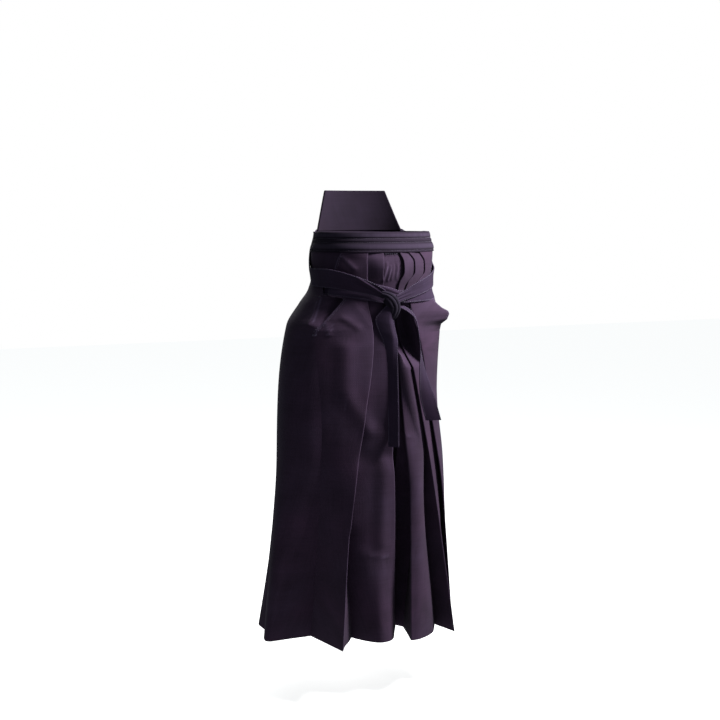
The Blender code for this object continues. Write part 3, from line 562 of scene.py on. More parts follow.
def soft_folds(table, across, height):
    """Height of the soft folds: each is a ridge rise * exp(-(d / half width)^2) about its line."""
    total = 0.0 * (across + height)
    for from_x, from_z, to_x, to_z, width, rise in table.values():
        run_x = to_x - from_x
        run_z = to_z - from_z
        part = ((across - from_x) * run_x + (height - from_z) * run_z) / (run_x ** 2 + run_z ** 2)
        part = np.clip(part, 0.0, 1.0)
        off = np.hypot(across - from_x - part * run_x, height - from_z - part * run_z)
        total = total + rise * np.exp(-(off / width) ** 2)
    return total


def pleat_hollow(across, height):
    """How far the inner pleats have sunk between the right and left fronts below the knot.

    It is the depth times a rise 1 / (1 + exp(-d)) past one side and the same as a fall past the other.
    """
    left, right, deep = straight_between(HOLLOW, height)
    rise = 1.0 / (1.0 + np.exp(-(across - left) / HOLLOW_EDGE))
    fall = 1.0 / (1.0 + np.exp((across - right) / HOLLOW_EDGE))
    return deep * rise * fall


def hanging_waves(across, height):
    """Slow waves that grow from nothing at the ties to their full rise at the hem.

    Each is rise * sin(2 pi * (across + slant * height) / length + phase).
    """
    grown = np.clip((SLIT_BOTTOM - height) / (SLIT_BOTTOM - HEM), 0.0, 1.0) ** WAVE_GROWTH
    total = 0.0 * (across + height)
    for length, phase, slant, rise in WAVES:
        total = total + rise * np.sin(2.0 * math.pi * (across + slant * height) / length + phase)
    return total * grown


def fade_in(height):
    """Nothing at the waistband, whole a little below it."""
    part = np.clip((SOFT_START - height) / SOFT_FADE, 0.0, 1.0)
    return part * part * (3.0 - 2.0 * part)


def front_relief(across, height):
    """How far the soft folds lift the front cloth off the outline."""
    folds = (soft_folds(FRONT_SOFT, across, height) + hanging_waves(across, height)) * fade_in(height)
    return folds - pleat_hollow(across, height)


def back_lines(table, girth, height):
    """The soft folds of a back table, whose places across are in degrees, at millimetres across."""
    spans = (DEGREE_SPAN, 1, DEGREE_SPAN, 1, 1, 1)
    scaled = {name: [value * span for value, span in zip(row, spans)] for name, row in table.items()}
    return soft_folds(scaled, girth, height)


def back_relief(side, across, height):
    """How far the soft folds lift the back cloth off the outline."""
    girth = side * across * DEGREE_SPAN
    return (back_lines(BACK_SOFT, girth, height) + hanging_waves(girth, height)) * fade_in(height)


def worn_and_lit_places(name, grid, creases, height):
    """How pale a panel is painted at each point: rubbed wear and painted highlight on its crease edges,
    painted highlight on its free slit edges and along lit ridges.
    """
    worn_and_lit = np.broadcast_to(creases, grid.shape[:2]).copy()
    # Crease edges: rubbed wear and painted highlight.
    top, more = CREASE_WEAR_AND_HIGHLIGHT[name]
    worn_and_lit *= top + more * np.clip((CREASE_START - height) / CREASE_FADE, 0.0, 1.0)[:, None]
    level = height[:, None]
    # Painted highlights along lit ridges and slit edges, in the same pale channel.
    if name.startswith("front"):
        worn_and_lit += soft_folds(FRONT_PAINTED_HIGHLIGHTS, front_measure(grid, level)[0], level)
    else:
        side = -1.0 if name.endswith("right") else 1.0
        girth = side * back_measure(side)(grid, level)[0] * DEGREE_SPAN
        worn_and_lit += back_lines(BACK_PAINTED_HIGHLIGHTS, girth, level)
    # Free slit edges: painted highlight.
    worn_and_lit[:, -1] += np.where(height > SLIT_BOTTOM, FREE_EDGE_HIGHLIGHT, 0.0)
    return np.clip(worn_and_lit, 0.0, 1.0)


def front_lean(across, height):
    """How much longer a layer's spacing is along y than square to the sloping outline of the front."""
    slope = (front_depth(across + 1.0, height) - front_depth(across - 1.0, height)) / 2.0
    return np.sqrt(1.0 + slope ** 2)


def back_lean(across, height):
    """The spacing on the back is already square to the outline."""
    return np.ones_like(across + height)


def front_place(across, inside, height):
    """x and y of a point of a front panel."""
    across = across + 0.0 * height
    return np.stack((across, inside - front_depth(across, height) - front_relief(across, height)), axis=-1)


def front_measure(point, height):
    """The across and inside values of an x and y on a front panel."""
    across = point[..., 0]
    return across, point[..., 1] + front_depth(across, height) + front_relief(across, height)


def back_place(side):
    """The function that gives x and y of a point of one side's back panel."""
    def place(across, inside, height):
        """x and y at degrees off centre back, inside the outline."""
        return around(180.0 - side * across, inside - back_relief(side, across, height), height)
    return place


def back_measure(side):
    """The function that gives the across and inside values of an x and y on one side's back panel."""
    def measure(point, height):
        """Degrees off centre back and the depth inside the outline."""
        across = np.degrees(np.arctan2(side * point[..., 0], point[..., 1]))
        reach = np.hypot(point[..., 0], point[..., 1])
        inside = radius(180.0 - side * across, height) - reach + back_relief(side, across, height)
        return across, inside
    return measure


def unit(vector):
    """The vector with length one."""
    return vector / np.maximum(np.linalg.norm(vector, axis=-1, keepdims=True), TINY)


def leg_spread(height):
    """How far each inner leg stands off the middle below the crotch: spread * (1 - exp(-drop / reach))."""
    return LEG_SPREAD * (1.0 - np.exp(-np.maximum(CROTCH - height, 0.0) / SPREAD_REACH))


def centre_seam(table_x, table_y, side, height):
    """x and y of a centre seam, which parts into the two inner legs below the crotch."""
    across = station(table_x, height) + side * leg_spread(height)
    sunk = pleat_hollow(across, height) if table_y is FRONT_CENTRE_Y else 0.0
    return np.stack((across, station(table_y, height) + sunk), axis=-1)


def side_seam(side, height):
    """x and y of a side seam, and of the front panel's free edge above the slit's bottom."""
    across, inside = (RIGHT_EDGE_X, RIGHT_EDGE_IN) if side < 0 else (LEFT_EDGE_X, LEFT_EDGE_IN)
    sewn = front_place(station(across, height), station(inside, height), height)
    free = RIGHT_FREE if side < 0 else LEFT_FREE
    pulled = np.stack(straight_between(free, height), axis=-1)
    return np.where(((height > free[-1][0]) & (height < free[0][0]))[:, None], pulled, sewn)


def back_edge(side, height):
    """x and y of a back panel's outer edge: free above the slit's bottom, the side seam below it."""
    table = BACK_EDGE_RIGHT if side < 0 else BACK_EDGE_LEFT
    degrees, inside = station(table, height), station(BACK_EDGE_IN, height)
    if side < 0:
        turned, sunk = straight_between(SLIT_TUCK, height)
        degrees = degrees + turned
        inside = inside + sunk
    free = around(180.0 - side * degrees, inside, height)
    seam = side_seam(side, height)
    slit = np.clip((height - SLIT_BOTTOM) / SLIT_OPENING, 0.0, 1.0)[:, None]
    return seam + (free - seam) * slit


def run_inside(start, end, crossing, under, part):
    """How far inside the outline a run lies at a share of its way.

    The run is straight from start to end, but where it passes below the next fold, at the share
    crossing, it lies at least as deep as under.
    """
    straight = start + (end - start) * part
    share = np.clip(crossing, *CROSSING)
    deep = np.maximum(under, start + (end - start) * share)
    before = start + (deep - start) * part / share
    after = deep + (end - deep) * (part - share) / (1.0 - share)
    return np.where(crossing < CROSSING[1], np.where(part < share, before, after), straight)


def fold_kind(name):
    """A fold is the valley or the crease of a pleat, or a soft bend."""
    return name.split("_")[0]


def fold_rows(folds, lean, first, last, height):
    """Kind, across and inside of each fold at every level, in a closed pleat's three layers.

    A fold lies half a layer inside its own face. Its valley lies one and a half layers inside the
    face above it, which itself sinks by two layers on its way below the next fold.
    """
    rows = [("seam",) + tuple(first)]
    places = [station(across, height) for _, across, _ in folds]
    for index, (name, _, inside) in enumerate(folds):
        kind = fold_kind(name)
        layer = station(LAYER, height) * lean(places[index], height)
        sunk = 0.5 * layer if kind == "crease" else 0.0 * layer
        if kind == "valley":
            sunk = 1.5 * layer
            if index + 3 < len(folds) and fold_kind(folds[index + 3][0]) == "crease":
                share = (places[index] - places[index + 1]) / (places[index + 3] - places[index + 1])
                sunk = sunk + 2.0 * layer * np.clip(share, 0.0, 1.0)
        rows.append((kind, places[index], station(inside, height) + sunk))
    rows.append(("seam",) + tuple(last))
    return rows


def fold_state(rows, index, place, height):
    """How far a fold is closed flat along the outline, from 0 to 1, and the room that its bend needs."""
    if rows[index][0] == "seam":
        return np.zeros_like(height), np.zeros_like(height)
    if rows[index][0] == "bend":
        return np.zeros_like(height), np.full_like(height, BEND_REACH)
    before, after = fold_directions(rows, index, place, height)
    spread = np.linalg.norm(before - after, axis=-1)
    here = place(rows[index][1], rows[index][2], height)
    deeper = unit(place(rows[index][1], rows[index][2] + 1.0, height) - here)
    standing = (unit(before + after) * deeper).sum(axis=-1)
    lying = np.clip(LYING_RATE * np.sqrt(np.clip(1.0 - standing ** 2, 0.0, 1.0)), 0.0, 1.0)
    closed = np.clip(CLOSED_AT - CLOSED_RATE * spread, 0.0, 1.0) * lying
    room, least, most = OPEN_ROOM
    open_room = np.clip(room / np.maximum(spread, TINY), least, most)
    return closed, BEND_RADIUS + (open_room - BEND_RADIUS) * (1.0 - closed)


def cloth_runs(rows, bows, closed, rooms, place, lean, height):
    """The points of the cloth between each two folds, at every level.

    A run is straight in the measures across and inside, less a bow of 4 * bow * share * (1 - share).
    """
    layers = [station(LAYER, height) * lean(row[1], height) for row in rows]
    runs = []
    for index in range(len(rows) - 1):
        start, end = rows[index], rows[index + 1]
        start_in = start[2] - 0.5 * layers[index] * closed[index]
        end_in = end[2] + 0.5 * layers[index + 1] * closed[index + 1]
        crossing = np.ones_like(height)
        under = np.zeros_like(height)
        if end[0] == "valley":
            cover = rows[index + 2]
            crossing = (cover[1] - start[1]) / (end[1] - start[1])
            under = cover[2] + 1.5 * layers[index + 2]
        count = RETURN_POINTS if start[0] == "valley" else FACE_POINTS
        length = np.linalg.norm(place(start[1], start_in, height) - place(end[1], end_in, height), axis=-1)
        low = np.minimum(rooms[index] / length, BEND_SHARE)
        high = 1.0 - np.minimum(rooms[index + 1] / length, BEND_SHARE)
        share = low[:, None] + (high - low)[:, None] * np.linspace(0.0, 1.0, count)[None, :]
        across = start[1][:, None] + (end[1] - start[1])[:, None] * share
        inside = run_inside(start_in[:, None], end_in[:, None], crossing[:, None], under[:, None], share)
        inside = inside - bows[index][:, None] * 4.0 * share * (1.0 - share)
        runs.append(place(across, inside, height[:, None]))
    return runs


def panel_section(folds, place, lean, measure, first, last, height):
    """Centre line of one panel at every level, from the centre seam to the side, and its wear and painted
    highlight.

    Each fold is a cubic from one run's end to the next run's start, following both runs' directions, so
    that it reaches the fold's own point.
    """
    rows = fold_rows(folds, lean, measure(first, height), measure(last, height), height)
    bows = [np.zeros_like(height)] + [station(BOWS.get(name, NOUGHT), height) for name, _, _ in folds]
    closed, rooms = zip(*[fold_state(rows, index, place, height) for index in range(len(rows))])
    runs = cloth_runs(rows, bows, closed, rooms, place, lean, height)
    points = [runs[0]]
    wear_and_highlight = [np.zeros(runs[0].shape[1])]
    for index in range(1, len(rows) - 1):
        before, after = fold_directions(rows, index, place, height)
        tip = place(rows[index][1], rows[index][2], height)
        tip = tip - unit(before + after) * (0.5 * station(LAYER, height) * closed[index])[:, None]
        points += [round_fold(runs[index - 1], runs[index], tip, closed[index]), runs[index]]
        # Crease edges: rubbed wear and painted highlight.
        worn_and_lit = np.array(WEAR_AND_HIGHLIGHT_SHARES) * (rows[index][0] == "crease")
        wear_and_highlight += [worn_and_lit, np.zeros(runs[index].shape[1])]
    return np.concatenate(points, axis=1), np.concatenate(wear_and_highlight)


def round_fold(before, after, tip, closed):
    """Points of the cubic that joins two runs round a fold's tip.

    Its handles lie along the runs: two thirds of the way to the tip where the fold stands open, four
    thirds of the tip's distance where it is closed flat, which makes it a half circle.
    """
    start, end = before[:, -1], after[:, 0]
    leave = unit(start - before[:, -2])
    arrive = unit(end - after[:, 1])
    flat = 4.0 / 3.0 * np.linalg.norm(tip - 0.5 * (start + end), axis=-1) * closed
    first = flat + 2.0 / 3.0 * np.linalg.norm(tip - start, axis=-1) * (1.0 - closed)
    last = flat + 2.0 / 3.0 * np.linalg.norm(tip - end, axis=-1) * (1.0 - closed)
    leave = start + leave * first[:, None]
    arrive = end + arrive * last[:, None]
    curve = []
    for share in ROUND_SHARES:
        rest = 1.0 - share
        curve.append(rest ** 3 * start + 3.0 * rest ** 2 * share * leave
                     + 3.0 * rest * share ** 2 * arrive + share ** 3 * end)
    return np.stack(curve, axis=1)


def fold_directions(rows, index, place, height):
    """Directions in plan in which the cloth leaves a fold, towards the row before and the row after."""
    here = place(rows[index][1], rows[index][2], height)
    before = place(*blend(rows[index], rows[index - 1], LOOK_SHARE), height)
    after = place(*blend(rows[index], rows[index + 1], LOOK_SHARE), height)
    return unit(before - here), unit(after - here)


def blend(row, other, share):
    """Across and inside a share of the way from one row to another."""
    return row[1] + (other[1] - row[1]) * share, row[2] + (other[2] - row[2]) * share


def cloth_lines(height):
    """Centre lines of the four panels and the two gores at each height, seams cut apart, and the wear and
    painted highlight.
    """
    lines = {}
    wear_and_highlight = {}
    for name, folds, side in (("front_right", FRONT_RIGHT_FOLDS, -1), ("front_left", FRONT_LEFT_FOLDS, 1)):
        lines[name], wear_and_highlight[name] = panel_section(
            folds, front_place, front_lean, front_measure,
            centre_seam(FRONT_CENTRE_X, FRONT_CENTRE_Y, side, height), side_seam(side, height), height)
    for name, folds, side in (("back_right", BACK_RIGHT_FOLDS, -1), ("back_left", BACK_LEFT_FOLDS, 1)):
        lines[name], wear_and_highlight[name] = panel_section(
            folds, back_place(side), back_lean, back_measure(side),
            centre_seam(BACK_CENTRE_X, BACK_CENTRE_Y, side, height), back_edge(side, height), height)
    flap = lines["front_left"][:, -FACE_POINTS:]
    share = np.linspace(0.0, 1.0, FACE_POINTS)[None, :, None]
    straight = flap[:, :1] + (flap[:, -1:] - flap[:, :1]) * share
    straight[..., 1:] -= FLAP_BOW * 4.0 * share * (1.0 - share)
    flatness = straight_between(FLAP, height)[0][:, None, None]
    lines["front_left"][:, -FACE_POINTS:] = flap + (straight - flap) * flatness
    shares = np.linspace(0.0, 1.0, GORE_POINTS)[None, :, None]
    for name in ("right", "left"):
        start = lines["front_" + name][:, :1]
        end = lines["back_" + name][:, :1]
        lines["gore_" + name] = start + (end - start) * shares
        wear_and_highlight["gore_" + name] = np.zeros(GORE_POINTS)
    return cut_apart(lines, height), wear_and_highlight


def trim_end(line, other, last):
    """Cut a line's end back from its neighbour's, far enough for the two walls to clear each other."""
    end, inner = (line[:, -1], line[:, -2]) if last else (line[:, 0], line[:, 1])
    own = unit(inner - end)
    cosine = np.clip(-(own * unit(other - end)).sum(axis=-1), -MITRE_LIMIT, 1.0)
    half_turn = 0.5 * np.arccos(cosine)
    cut = 0.5 * SEAM_GAP + 0.5 * CLOTH * np.tan(half_turn)
    line = line.copy()
    line[:, -1 if last else 0] = end + own * cut[:, None]
    return line


def cut_apart(lines, height):
    """Leave the seam gap between neighbours: side seams, centre seams and inner legs."""
    legs = (height < CROTCH - LEVEL_ROOM)[:, None]
    joined = (height <= SLIT_BOTTOM + LEVEL_ROOM)[:, None]
    cut = dict(lines)
    for name, other in (("right", "left"), ("left", "right")):
        for part in ("front_", "back_"):
            gore = lines["gore_" + name][:, 1 if part == "front_" else -2]
            across = lines[part + other][:, 1]
            neighbour = np.where(legs, gore, across)
            cut[part + name] = trim_end(cut[part + name], neighbour, last=False)
        for part, opposite in (("front_", "back_"), ("back_", "front_")):
            trimmed = trim_end(cut[part + name], lines[opposite + name][:, -2], last=True)
            cut[part + name][:, -1] = np.where(joined, trimmed[:, -1], cut[part + name][:, -1])
        gore = trim_end(cut["gore_" + name], lines["front_" + name][:, 1], last=False)
        cut["gore_" + name] = trim_end(gore, lines["back_" + name][:, 1], last=True)
    return cut


def linear(colour):
    """Linear red, green and blue of an sRGB hex colour."""
    parts = np.array([int(colour[place:place + 2], 16) for place in (1, 3, 5)]) / 255.0
    return tuple(np.where(parts <= 0.04045, parts / 12.92, ((parts + 0.055) / 1.055) ** 2.4).tolist())


def grid_quads(rows, columns, closed=False):
    """Corner numbers of the quads of a grid; closed joins the last column to the first."""
    last = columns if closed else columns - 1
    row, column = np.meshgrid(np.arange(rows - 1), np.arange(last), indexing="ij")
    after = (column + 1) % columns
    quads = (row * columns + column, row * columns + after, (row + 1) * columns + after,
             (row + 1) * columns + column)
    return np.stack(quads, axis=-1).reshape(-1, 4).tolist()


def new_piece(name, points, faces, material, flat=None, wear_and_highlight=None, closed=False):
    """A smooth mesh object from points in millimetres, with its flat pattern as UV and its wear and painted
    highlight.

    A closed piece has its faces turned outwards; an open one keeps its border crisp.
    """
    mesh = bpy.data.meshes.new(name)
    mesh.from_pydata((np.reshape(points, (-1, 3)) * MM).tolist(), [], faces)
    if closed:
        made = bmesh.new()
        made.from_mesh(mesh)
        bmesh.ops.recalc_face_normals(made, faces=made.faces[:])
        made.to_mesh(mesh)
        made.free()
    if flat is not None:
        corners = np.empty(len(mesh.loops), np.int32)
        mesh.loops.foreach_get("vertex_index", corners)
        layer = mesh.uv_layers.new(name="flat")
        layer.uv.foreach_set("vector", (flat.reshape(-1, 2) * MM)[corners].ravel())
    if wear_and_highlight is not None:
        mesh.attributes.new("wear_and_highlight", "FLOAT", "POINT").data.foreach_set("value", np.ravel(wear_and_highlight))
    mesh.materials.append(material)
    mesh.validate()
    mesh.shade_smooth()
    sides = np.empty(len(mesh.loops), np.int32)
    mesh.loops.foreach_get("edge_index", sides)
    border = np.bincount(sides, minlength=len(mesh.edges)) == 1
    mesh.attributes.new("sharp_edge", "BOOLEAN", "EDGE").data.foreach_set("value", border)
    obj = bpy.data.objects.new(name, mesh)
    bpy.context.scene.collection.objects.link(obj)
    return obj


def flat_pattern(grid):
    """The cloth's own measures at each point: the length along its row and the length down its column."""
    along = np.linalg.norm(np.diff(grid, axis=1), axis=-1)
    down = np.linalg.norm(np.diff(grid, axis=0), axis=-1).mean(axis=1)
    along = np.concatenate((np.zeros((grid.shape[0], 1)), np.cumsum(along, axis=1)), axis=1)
    down = np.concatenate(((0.0,), np.cumsum(down)))
    return np.stack((along, np.broadcast_to(down[:, None], along.shape)), axis=-1)


def cloth_wall(name, grid, thickness, material, wear_and_highlight=None):
    """A wall of even thickness, in metres, on a grid of points: half of it to each side."""
    rows, columns = grid.shape[:2]
    wear_and_highlight = np.zeros((rows, columns)) if wear_and_highlight is None else wear_and_highlight
    obj = new_piece(name, grid, grid_quads(rows, columns), material, flat_pattern(grid), wear_and_highlight)
    wall = obj.modifiers.new("wall", "SOLIDIFY")
    wall.thickness = thickness
    wall.offset = 0.0
    return obj


def ride_root(obj, slot, *nodes):
    """The piece rides on the garment's one body and stands for the named solids, which it hides. slot is not
    used.
    """
    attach(obj, "root")
    if nodes:
        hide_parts(*nodes)
    return obj


def add_node(tree, kind, inputs=(), **settings):
    """One node with its settings; an input's value is plain or another node's output."""
    made = tree.nodes.new(kind)
    for name, value in settings.items():
        setattr(made, name, value)
    for name, value in dict(inputs).items():
        if isinstance(value, bpy.types.NodeSocket):
            tree.links.new(value, made.inputs[name])
        else:
            made.inputs[name].default_value = value
    return made


def opaque(colour, share=1.0):
    """A colour for a node's socket, times a share of each of its parts."""
    return tuple(np.array(colour) * share) + (1.0,)


def start_finish(name, roughness):
    """A new material, its node tree and its shader."""
    material = bpy.data.materials.new(name)
    material.use_nodes = True
    shader = material.node_tree.nodes["Principled BSDF"]
    shader.inputs["Roughness"].default_value = roughness
    return material, material.node_tree, shader


def woven_finish(name, colour, worn_and_lit, roughness):
    """Plain-woven dyed cloth on a piece's flat pattern.

    Colour moves up from the deepest dye with uneven dyeing and with streaks along both threads, and
    goes to the worn colour on pleat edges, lit edges and ridges: rubbed wear and painted highlight. The bump
    is the weave and the streaks.
    """
    found = bpy.data.materials.get(name)
    if found:
        return found
    dark, cool, warm = (opaque(colour, share) for share in (DEEP_DYE, COOL_DYE, WARM_DYE))
    material, tree, shader = start_finish(name, roughness)
    flat = add_node(tree, "ShaderNodeUVMap", uv_map="flat").outputs["UV"]
    warp = add_node(tree, "ShaderNodeMapping", {"Vector": flat, "Scale": (WARP_STREAKS, STREAK_RUN, 1.0)})
    weft = add_node(tree, "ShaderNodeMapping", {"Vector": flat, "Scale": (STREAK_RUN, WARP_STREAKS, 1.0)})
    warp = add_node(tree, "ShaderNodeTexNoise", {"Vector": warp.outputs[0], "Scale": 1.0, "Detail": 2.0})
    weft = add_node(tree, "ShaderNodeTexNoise", {"Vector": weft.outputs[0], "Scale": 1.0, "Detail": 2.0})
    streaks = add_node(tree, "ShaderNodeMath", {0: warp.outputs["Fac"], 1: weft.outputs["Fac"]},
                       operation="ADD")
    dye = add_node(tree, "ShaderNodeTexNoise", {"Vector": flat, "Scale": DYE_SCALE, "Detail": 3.0})
    mixed = add_node(tree, "ShaderNodeMath", {0: streaks.outputs[0], 1: STREAK_SHARE, 2: dye.outputs["Fac"]},
                     operation="MULTIPLY_ADD")
    spread = add_node(tree, "ShaderNodeMapRange", {"Value": mixed.outputs[0], "From Min": DYE_SPREAD[0],
                                                   "From Max": DYE_SPREAD[1]})
    blotch = add_node(tree, "ShaderNodeTexNoise", {"Vector": flat, "Scale": BLOTCH_SCALE, "Detail": 2.0})
    redder = add_node(tree, "ShaderNodeMapRange", {
        "Value": blotch.outputs["Fac"], "From Min": BLOTCH_SPREAD[0], "From Max": BLOTCH_SPREAD[1]})
    drift = add_node(tree, "ShaderNodeMix", {"Factor": redder.outputs[0], "A": cool, "B": warm},
                     data_type="RGBA")
    cloth = add_node(tree, "ShaderNodeMix", {"Factor": spread.outputs[0], "A": dark,
                                             "B": drift.outputs["Result"]}, data_type="RGBA")
    # Pale mix: rubbed wear and painted highlights on lit edges and ridges.
    wear_and_highlight = add_node(tree, "ShaderNodeAttribute", attribute_name="wear_and_highlight")
    edge = add_node(tree, "ShaderNodeMath", {0: wear_and_highlight.outputs["Fac"], 1: warp.outputs["Fac"]},
                    operation="MULTIPLY", use_clamp=True)
    faded_and_lit = add_node(tree, "ShaderNodeMix", {"Factor": edge.outputs[0], "A": cloth.outputs["Result"],
                                             "B": opaque(worn_and_lit)}, data_type="RGBA")
    tree.links.new(faded_and_lit.outputs["Result"], shader.inputs["Base Color"])
    threads = add_node(tree, "ShaderNodeMapping", {"Vector": flat, "Scale": (THREADS, THREADS, THREADS)})
    over = add_node(tree, "ShaderNodeTexChecker", {"Vector": threads.outputs[0], "Scale": 1.0})
    relief = add_node(tree, "ShaderNodeMath", {0: over.outputs["Fac"], 1: WEAVE_SHARE,
                                               2: streaks.outputs[0]}, operation="MULTIPLY_ADD")
    bump = add_node(tree, "ShaderNodeBump", {"Height": relief.outputs[0], "Strength": WEAVE_BUMP,
                                             "Distance": WEAVE_DEPTH})
    tree.links.new(bump.outputs["Normal"], shader.inputs["Normal"])
    shader.inputs["Specular IOR Level"].default_value = CLOTH_SPECULAR
    shader.inputs["Sheen Weight"].default_value = CLOTH_SHEEN
    shader.inputs["Sheen Roughness"].default_value = SHEEN_ROUGHNESS
    return material


def hakama_cloth(look):
    """Cotton plain weave, piece-dyed purple brown: a soft, nearly matt face, paler on pleat edges with wear
    and painted highlight.
    """
    return woven_finish("cotton_plain_weave_purple_brown", look.cloth_colour, look.worn_and_lit_colour,
                        CLOTH_ROUGHNESS)


def shaded_band_cloth(look):
    """The same weave in several pressed layers: flatter and a little bluer, and darker as painted shade."""
    return woven_finish("cotton_plain_weave_waistband_painted_shade", look.band_shaded_colour, look.worn_and_lit_colour, CLOTH_ROUGHNESS)


def tie_cloth(look):
    """Cotton strip folded in layers, dyed navy purple: a smooth face that catches the light."""
    return woven_finish("cotton_folded_strip_navy", look.tie_colour, look.worn_and_lit_colour, TIE_ROUGHNESS)


def shaded_knot_cloth(look):
    """The same strip in the knot, its colour darkened as painted shade."""
    return woven_finish("cotton_folded_strip_painted_shade", look.knot_shaded_colour, look.worn_and_lit_colour, CLOTH_ROUGHNESS)


def sewing_thread(look):
    """Twisted cotton thread: its plies stand up as bump, and the slanting dark lines between them are painted
    shade.
    """
    name = "cotton_twisted_sewing_thread"
    found = bpy.data.materials.get(name)
    if found:
        return found
    material, tree, shader = start_finish(name, THREAD_ROUGHNESS)
    place = add_node(tree, "ShaderNodeTexCoord").outputs["Object"]
    plies = add_node(tree, "ShaderNodeTexWave", {"Vector": place, "Scale": TWIST, "Distortion": 1.0},
                     bands_direction="DIAGONAL")
    # Darker where the plies sink: painted shade in the grooves.
    colour = add_node(tree, "ShaderNodeMix", {
        "Factor": plies.outputs["Fac"], "A": opaque(look.thread_colour, DEEP_DYE),
        "B": opaque(look.thread_colour)}, data_type="RGBA")
    bump = add_node(tree, "ShaderNodeBump", {"Height": plies.outputs["Fac"], "Strength": PLY_BUMP,
                                             "Distance": PLY_DEPTH})
    tree.links.new(colour.outputs["Result"], shader.inputs["Base Color"])
    tree.links.new(bump.outputs["Normal"], shader.inputs["Normal"])
    return material


def panel_grid(line, height):
    """Points in space from a line in plan at each level."""
    tall = np.broadcast_to(height[:, None, None], line.shape[:2] + (1,))
    return np.concatenate((line, tall), axis=-1)


def outward(along, across, points):
    """Unit directions square to both runs of a surface, away from the waist's axis."""
    normal = unit(np.cross(along, across))
    away = (normal[..., :2] * points[..., :2]).sum(axis=-1, keepdims=True)
    return np.where(away < 0.0, -normal, normal)


def grid_normals(grid):
    """Outward unit directions at the points of a grid."""
    return outward(np.gradient(grid, axis=1), np.gradient(grid, axis=0), grid)


def row_on(grid, lift, index):
    """The points of one run of a grid, moved out to its surface, and their outward directions."""
    normals = grid_normals(grid)[index]
    return grid[index] + normals * lift, normals


def stitches(name, rows, material, length, width):
    """Rows of short threads as one mesh.

    rows holds pairs: a run of points and the outward direction at each. A thread is a spindle of two
    rings of four points, half its width about its middle line, and a point at each end that dips into
    the cloth. They lie at place + length * (-1/2, -1/4, 1/4, 1/2) along the run.
    """
    half = 0.5 * width
    turns = np.radians((0.0, 90.0, 180.0, 270.0))
    seed = [(-0.5 * length, 0.0, -THREAD_DIP * width)]
    for place in (-0.25, 0.25):
        seed += [(place * length, half * math.cos(turn), half * math.sin(turn)) for turn in turns]
    seed = np.array(seed + [(0.5 * length, 0.0, -THREAD_DIP * width)])
    threads = []
    for points, normals in rows:
        run = np.concatenate(((0.0,), np.cumsum(np.linalg.norm(np.diff(points, axis=0), axis=-1))))
        places = np.arange(ROW_ENDS[0] * THREAD_STEP, run[-1] - ROW_ENDS[1] * THREAD_STEP, THREAD_STEP)
        middle = along_run(places, run, points)
        ahead = along_run(places + THREAD_AIM, run, points)
        along = unit(ahead - along_run(places - THREAD_AIM, run, points))
        side = unit(np.cross(along_run(places, run, normals), along))
        axes = np.stack((along, side, np.cross(along, side)), axis=1)
        threads.append(middle[:, None, :] + np.einsum("ij,njk->nik", seed, axes))
    threads = np.concatenate(threads)
    ring = [(turn, (turn + 1) % 4) for turn in range(4)]
    ends = [(0, 1 + after, 1 + turn) for turn, after in ring]
    ends += [(9, 5 + turn, 5 + after) for turn, after in ring]
    sides = [(1 + turn, 1 + after, 5 + after, 5 + turn) for turn, after in ring]
    first = len(seed) * np.arange(len(threads))[:, None, None]
    faces = (np.array(ends)[None] + first).reshape(-1, 3).tolist()
    faces += (np.array(sides)[None] + first).reshape(-1, 4).tolist()
    return new_piece(name, threads, faces, material, closed=True)


def along_run(places, run, values):
    """The run's values at lengths along it, straight between its points."""
    return np.stack([np.interp(places, run, values[:, axis]) for axis in range(3)], axis=-1)


def sew(name, rows, look, slot):
    """A piece's rows of stitches in sewing thread: they stand for no solid of their own."""
    sewing = stitches(name + "_stitches", rows, sewing_thread(look), look.stitch / MM, look.stitch_width / MM)
    return ride_root(sewing, slot)


def slit_rows(line, height):
    """The row of stitches beside a panel's free edge and the bar tack at the slit's foot.

    Both are measured from the edge along back, the direction from it into the cloth.
    """
    grid = panel_grid(line[:, -4:], height)
    back = unit(grid[:, -3] - grid[:, -1])
    out = outward(back, np.broadcast_to((0.0, 0.0, 1.0), back.shape), grid[:, -1])
    open_part = (height < EDGE_ROW_TOP) & (height > SLIT_BOTTOM + EDGE_ROW_FOOT)
    lift = out * (0.5 * CLOTH + THREAD_LIFT)
    rows = [((grid[:, -1] + back * EDGE_ROW + lift)[open_part], out[open_part])]
    near, far, top, spacing = BAR_TACK
    for number in range(BAR_THREADS):
        level = np.argmin(np.abs(height - (top - number * spacing)))
        inward = np.linspace(near, far, BAR_POINTS)[:, None]
        points = grid[level, -1] + back[level] * inward + lift[level]
        points[:, 2] = top - number * spacing
        rows.append((points, np.broadcast_to(out[level], points.shape)))
    return rows


def tack_row():
    """The row of stitches that catches the pleats' tops just under the front waistband."""
    start, end, level = TACK_ROW
    across = np.linspace(start, end, TACK_POINTS)
    plan = front_place(across, -0.5 * CLOTH - THREAD_LIFT, np.full(TACK_POINTS, level))
    points = np.concatenate((plan, np.full((TACK_POINTS, 1), level)), axis=-1)
    return points, np.broadcast_to((0.0, -1.0, 0.0), points.shape)


def band_rows(middle, half, levels, inside):
    """Rows of stitches round a waistband at each level."""
    half = half - BAND_ROW_SHORT
    angles = np.linspace(middle - half, middle + half, BAND_ROW_POINTS)
    rows = []
    for level in levels:
        points, outer = (panel_grid(around(angles, depth, level)[None], np.array((level,)))[0]
                         for depth in (inside, inside - 1.0))
        rows.append((points, unit(outer - points)))
    return rows


